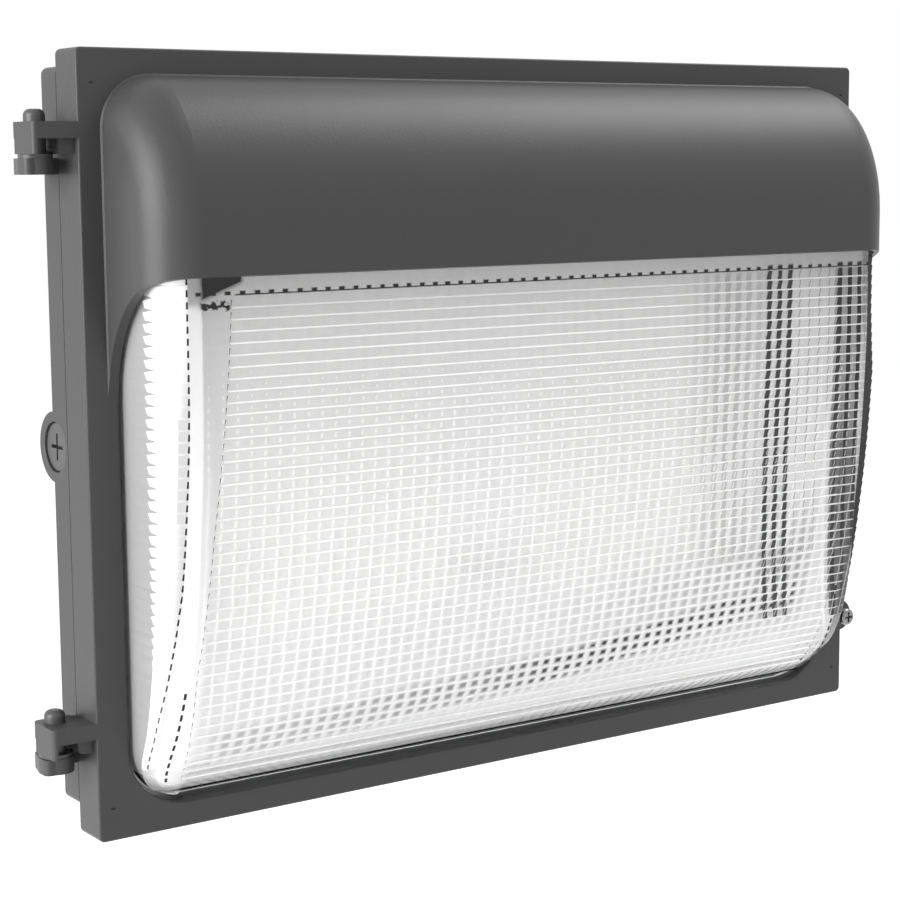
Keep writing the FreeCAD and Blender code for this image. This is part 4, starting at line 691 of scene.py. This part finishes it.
def outer_half(s, part, y_front, z):
    """Left half of an outer row: (distance, dent) pairs, one more than there are zones."""
    w = half_width(z, 0.0)
    r = corner_radius(z, Y_FLANGE - y_front, 0.0)
    arc = r * math.pi / 2
    rear = y_front + r - arc - Y_FLANGE
    dent = 0.0 if part is None else min(part / LEDGE, 1.0)
    fade = 1.0 - clamped((s - SIDE_FADE[0]) / (SIDE_FADE[1] - SIDE_FADE[0]), 0.0, 1.0)
    side = dent * SIDE_RIB_DEPTH * fade
    deep = dent * RIB_DEPTH if part is not None and in_field(s) else 0.0
    finger = FINGER_Y - FINGER_LENGTH * FINGER_SHARE.get(part, 1.0)
    tip = max(min(y_front + r - arc - finger, -arc - 0.8), rear + 0.4)
    start = min(tip + 0.8, -arc - 0.3)
    line = max(round_corner(read_table(RIB_ENDS, s), r), -arc * 0.93)
    dash = max(round_corner(read_table(LOW_DASHES, s), r), line + SMOOTH_GAP)
    field = max(w - r - read_table(FIELD_EDGE, s), dash + SMOOTH_GAP)
    half = [(rear, 0.0), (tip, 0.0), (start, side)]
    half += [(-arc + (line + arc) * share, side) for share in BEND_SHARES]
    half += [(line, side), (line + LINE_WIDTH, 0.0)]
    half += [(dash - DASH_WIDTH / 2, 0.0), (dash + DASH_WIDTH / 2, 0.0)]
    half += [(field - STEP_RUN, 0.0)]
    half += [(field + (w - r - field) * i / FIELD_PARTS, deep) for i in range(FIELD_PARTS)]
    return half, w, r


def outer_rows():
    """Rows of the outer skin: (s, part, points, zones). Three rows make one rib."""
    points, lengths = profile(0.0)
    first = FIELD_TOP - SIDE_RIBS_ABOVE * RIB_PITCH
    last = FIELD_TOP + FIELD_RIBS * RIB_PITCH
    stations = [(first * i / 8, None) for i in range(8)]
    for k in range(-SIDE_RIBS_ABOVE, FIELD_RIBS):
        stations += [(FIELD_TOP + (k + part) * RIB_PITCH, part) for part in (0.0, CREST, LEDGE)]
    stations += [(last + (lengths[-1] - last) * i / 4, None) for i in range(5)]
    rows = []
    for s, part in stations:
        y, z = point_at(points, lengths, s)
        half, w, r = outer_half(s, part, y, z)
        rows.append((s, part, *mirrored(half, z, w, r, y, ZONES)))
    return rows


def outer_pick(s, part, zone):
    """Which glass a face of the outer skin has."""
    in_ribs = part is not None
    # Painted shade: the right corner and the lower crescents.
    if zone == "corner" or zone in ("rim", "tip") and SHADOW_CRESCENT[0] < s < SHADOW_CRESCENT[1]:
        return "shade"
    if zone == "rim":
        return "rim"
    # Side prisms take the pale finish with painted glow.
    if zone in ("tip", "side", "bend", "front", "line") and in_ribs and s < SIDE_FADE[1]:
        return "step" if zone == "line" and part == CREST else "side"
    # Steep rib ends here and at the ticks below take the painted shade.
    if zone == "dash" and part == CREST and s > LOW_DASHES[0][0]:
        return "step"
    if in_ribs and in_field(s):
        if zone == "tick" and part == CREST:
            return "step"
        # Rib ledges take the painted highlight.
        if zone == "field" and part == LEDGE:
            return "ledge"
    return "clear"


def inner_rows():
    """Rows of the inner skin, with shallow upright flutes."""
    points, lengths = profile(GLASS_T)
    rows = []
    count = int((HALF_W - EDGE_R) / FLUTE_PITCH) * 4
    for i in range(INNER_ROWS + 1):
        s = lengths[-1] * i / INNER_ROWS
        y, z = point_at(points, lengths, s)
        w = half_width(z, GLASS_T)
        r = corner_radius(z, Y_FLANGE_BACK - y, GLASS_T)
        arc = r * math.pi / 2
        half = [(y + r - arc - Y_FLANGE_BACK, 0.0), (-arc, 0.0), (-arc / 2, 0.0), (0.0, 0.0)]
        for k in range(count):
            swell = 0.5 - 0.5 * math.cos(math.pi / 2 * (k - count))
            half.append(((w - r) * (k + 1) / (count + 0.5), -FLUTE_DEPTH * swell))
        rows.append((s, None, *mirrored(half, z, w, r, y, ["satin"] * (len(half) - 1))))
    return rows


print("outer rows:", len(outer_rows()), "points in each:", len(outer_rows()[0][2]))

# %% [markdown]
# ## Lens mesh
# The rows are joined into an outer and an inner skin, and a flat flange closes the gap
# between their back edges, so that the bowl is one solid piece of glass as it is when
# pressed. Smooth shading stops at edges sharper than a set angle, which keeps the
# ledges of the ribs crisp.

# %% Lens mesh
SHARP_ANGLE = math.radians(28)


def add_skin(mesh, rows, pick, flip):
    """Faces between rows. Returns the points round its open back edge."""
    across = mesh.verts.layers.float["across"]
    down = mesh.verts.layers.float["down"]
    kinds = list(GLASS)
    net = []
    for s, part, points, zones in rows:
        row = [mesh.verts.new(Vector(p) * MM) for p in points]
        for vert, point in zip(row, points):
            vert[across] = point[0] / FLUTE_PITCH
            vert[down] = (s - FIELD_TOP) / RIB_PITCH
        net.append(row)
    for (s, part, points, zones), upper, lower in zip(rows, net, net[1:]):
        for i, zone in enumerate(zones):
            corners = [upper[i], lower[i], lower[i + 1], upper[i + 1]]
            face = mesh.faces.new(corners[::-1] if flip else corners)
            face.material_index = kinds.index(pick(s, part, zone))
    for row in (net[0], net[-1]):
        mesh.faces.new(row)
    return [row[0] for row in net] + [row[-1] for row in reversed(net)]


def rounded_rectangle(half_w, low, top, radius, y, steps=10):
    """Points round a flat rectangle that faces the front."""
    out = []
    for cx, cz, start in ((1, 1, 0), (-1, 1, 90), (-1, -1, 180), (1, -1, 270)):
        x0 = cx * (half_w - radius)
        z0 = (top - radius) if cz > 0 else (low + radius)
        for i in range(steps + 1):
            a = math.radians(start + 90 * i / steps)
            out.append((x0 + radius * math.cos(a), y, z0 + radius * math.sin(a)))
    return out


def loop_edges(mesh, verts):
    """Edges of a closed loop, made where they are missing."""
    pairs = zip(verts, verts[1:] + verts[:1])
    return [mesh.edges.get(pair) or mesh.edges.new(pair) for pair in pairs]


def make_lens():
    mesh = bmesh.new()
    for label in ("across", "down"):
        mesh.verts.layers.float.new(label)
    outer = add_skin(mesh, outer_rows(), outer_pick, False)
    inner = add_skin(mesh, inner_rows(), lambda s, part, zone: "satin", True)
    front, back = ([mesh.verts.new(Vector(p) * MM) for p in rounded_rectangle(*FLANGE, y)]
                   for y in (Y_FLANGE, Y_FLANGE_BACK))
    for i in range(len(front)):
        j = (i + 1) % len(front)
        mesh.faces.new([front[i], front[j], back[j], back[i]])
    for ring, hole in ((front, outer), (back, inner)):
        bmesh.ops.triangle_fill(mesh, use_beauty=True,
                                edges=loop_edges(mesh, ring) + loop_edges(mesh, hole))
    bmesh.ops.recalc_face_normals(mesh, faces=mesh.faces)
    open_edges = sum(1 for e in mesh.edges if len(e.link_faces) != 2)
    data = bpy.data.meshes.new("lens_ribbed")
    mesh.to_mesh(data)
    mesh.free()
    for polygon in data.polygons:
        polygon.use_smooth = True
    data.set_sharp_from_angle(angle=SHARP_ANGLE)
    for kind in GLASS.values():
        data.materials.append(kind)
    piece = bpy.data.objects.new("lens_ribbed", data)
    bpy.context.scene.collection.objects.link(piece)
    print("lens faces:", len(data.polygons), "open edges:", open_edges)
    return piece


lens = make_lens()
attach(lens, "door")
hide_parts("glass_lens")

# %% [markdown]
# ## Studio
# The real picture has a plain white ground. The world is white where the camera, gloss
# or glass sees it, and softer where it lights the paint, so that the ground stays white
# and the dark castings keep their tone.

# %% World
WORLD_LIGHT = 0.3


def seen(tree):
    """1 where the camera, gloss or glass looks, and 0 where light is gathered."""
    path = tree.nodes.new("ShaderNodeLightPath")
    rays = ("Is Camera Ray", "Is Glossy Ray", "Is Transmission Ray")
    return folded(tree, "MAXIMUM", [path.outputs[ray] for ray in rays])


def make_world():
    world = bpy.data.worlds.new("studio")
    bpy.context.scene.world = world
    world.use_nodes = True
    tree = world.node_tree
    background = tree.nodes["Background"]
    background.inputs["Color"].default_value = (1.0, 1.0, 1.0, 1.0)
    join(tree, remap(tree, seen(tree), 0.0, 1.0, WORLD_LIGHT, 1.0), background.inputs["Strength"])
    return world


print("world:", make_world().name)

# %% [markdown]
# ## Floor
# The light hangs on a wall, so the floor lies well below it, where its soft shadow falls
# out of view. A wide disc hides its own edge, and a part of its brightness is emission
# that only the camera, gloss and glass see, which brings it up to the white of the world.

# %% Floor
FLOOR_Z, FLOOR_RADIUS, FLOOR_TONE = -0.6, 6.0, 0.75


def make_floor():
    bpy.ops.mesh.primitive_circle_add(vertices=96, radius=FLOOR_RADIUS, fill_type="NGON",
                                      location=(0, 0, FLOOR_Z))
    floor = bpy.context.object
    floor.name = "floor"
    material = bpy.data.materials.new("floor_white")
    material.use_nodes = True
    tree = material.node_tree
    shader = tree.nodes["Principled BSDF"]
    shader.inputs["Base Color"].default_value = (FLOOR_TONE, FLOOR_TONE, FLOOR_TONE, 1.0)
    shader.inputs["Roughness"].default_value = 0.9
    shader.inputs["Emission Color"].default_value = (1.0, 1.0, 1.0, 1.0)
    glow = calc(tree, "MULTIPLY", seen(tree), FLOOR_TONE)
    join(tree, glow, shader.inputs["Emission Strength"])
    floor.data.materials.append(material)
    return floor


print("floor at", make_floor().location.z)

# %% [markdown]
# ## Lamps
# A large soft lamp at the left makes the left sides of the castings the palest, one
# above lights the hood's curve, and a weak one in front fills the closure screws. Large
# lamps give the broad, soft edges of shade that a photographer's softbox gives.

# %% Lamps
AIM = (0, 0, 0)


def softbox(name, spot, side, power):
    """A square area lamp at a spot, aimed at the middle of the light."""
    data = bpy.data.lights.new(name, "AREA")
    data.shape = "RECTANGLE"
    data.size, data.size_y = side, side
    data.energy = power
    lamp = bpy.data.objects.new(name, data)
    bpy.context.scene.collection.objects.link(lamp)
    lamp.location = spot
    lamp.rotation_euler = (Vector(AIM) - Vector(spot)).to_track_quat("-Z", "Y").to_euler()
    return lamp


softbox("left_softbox", (-2.2, -0.3, 0.5), 1.6, 66.0)
softbox("front_softbox", (0.9, -2.4, 1.0), 1.6, 1.0)
softbox("top_softbox", (1.3, -0.3, 1.7), 1.2, 25.0)

# %% [markdown]
# ## Finish
# The view transform stays plain, so that a colour renders about as it is written.

# %% Finish
bpy.context.scene.view_settings.view_transform = "Standard"
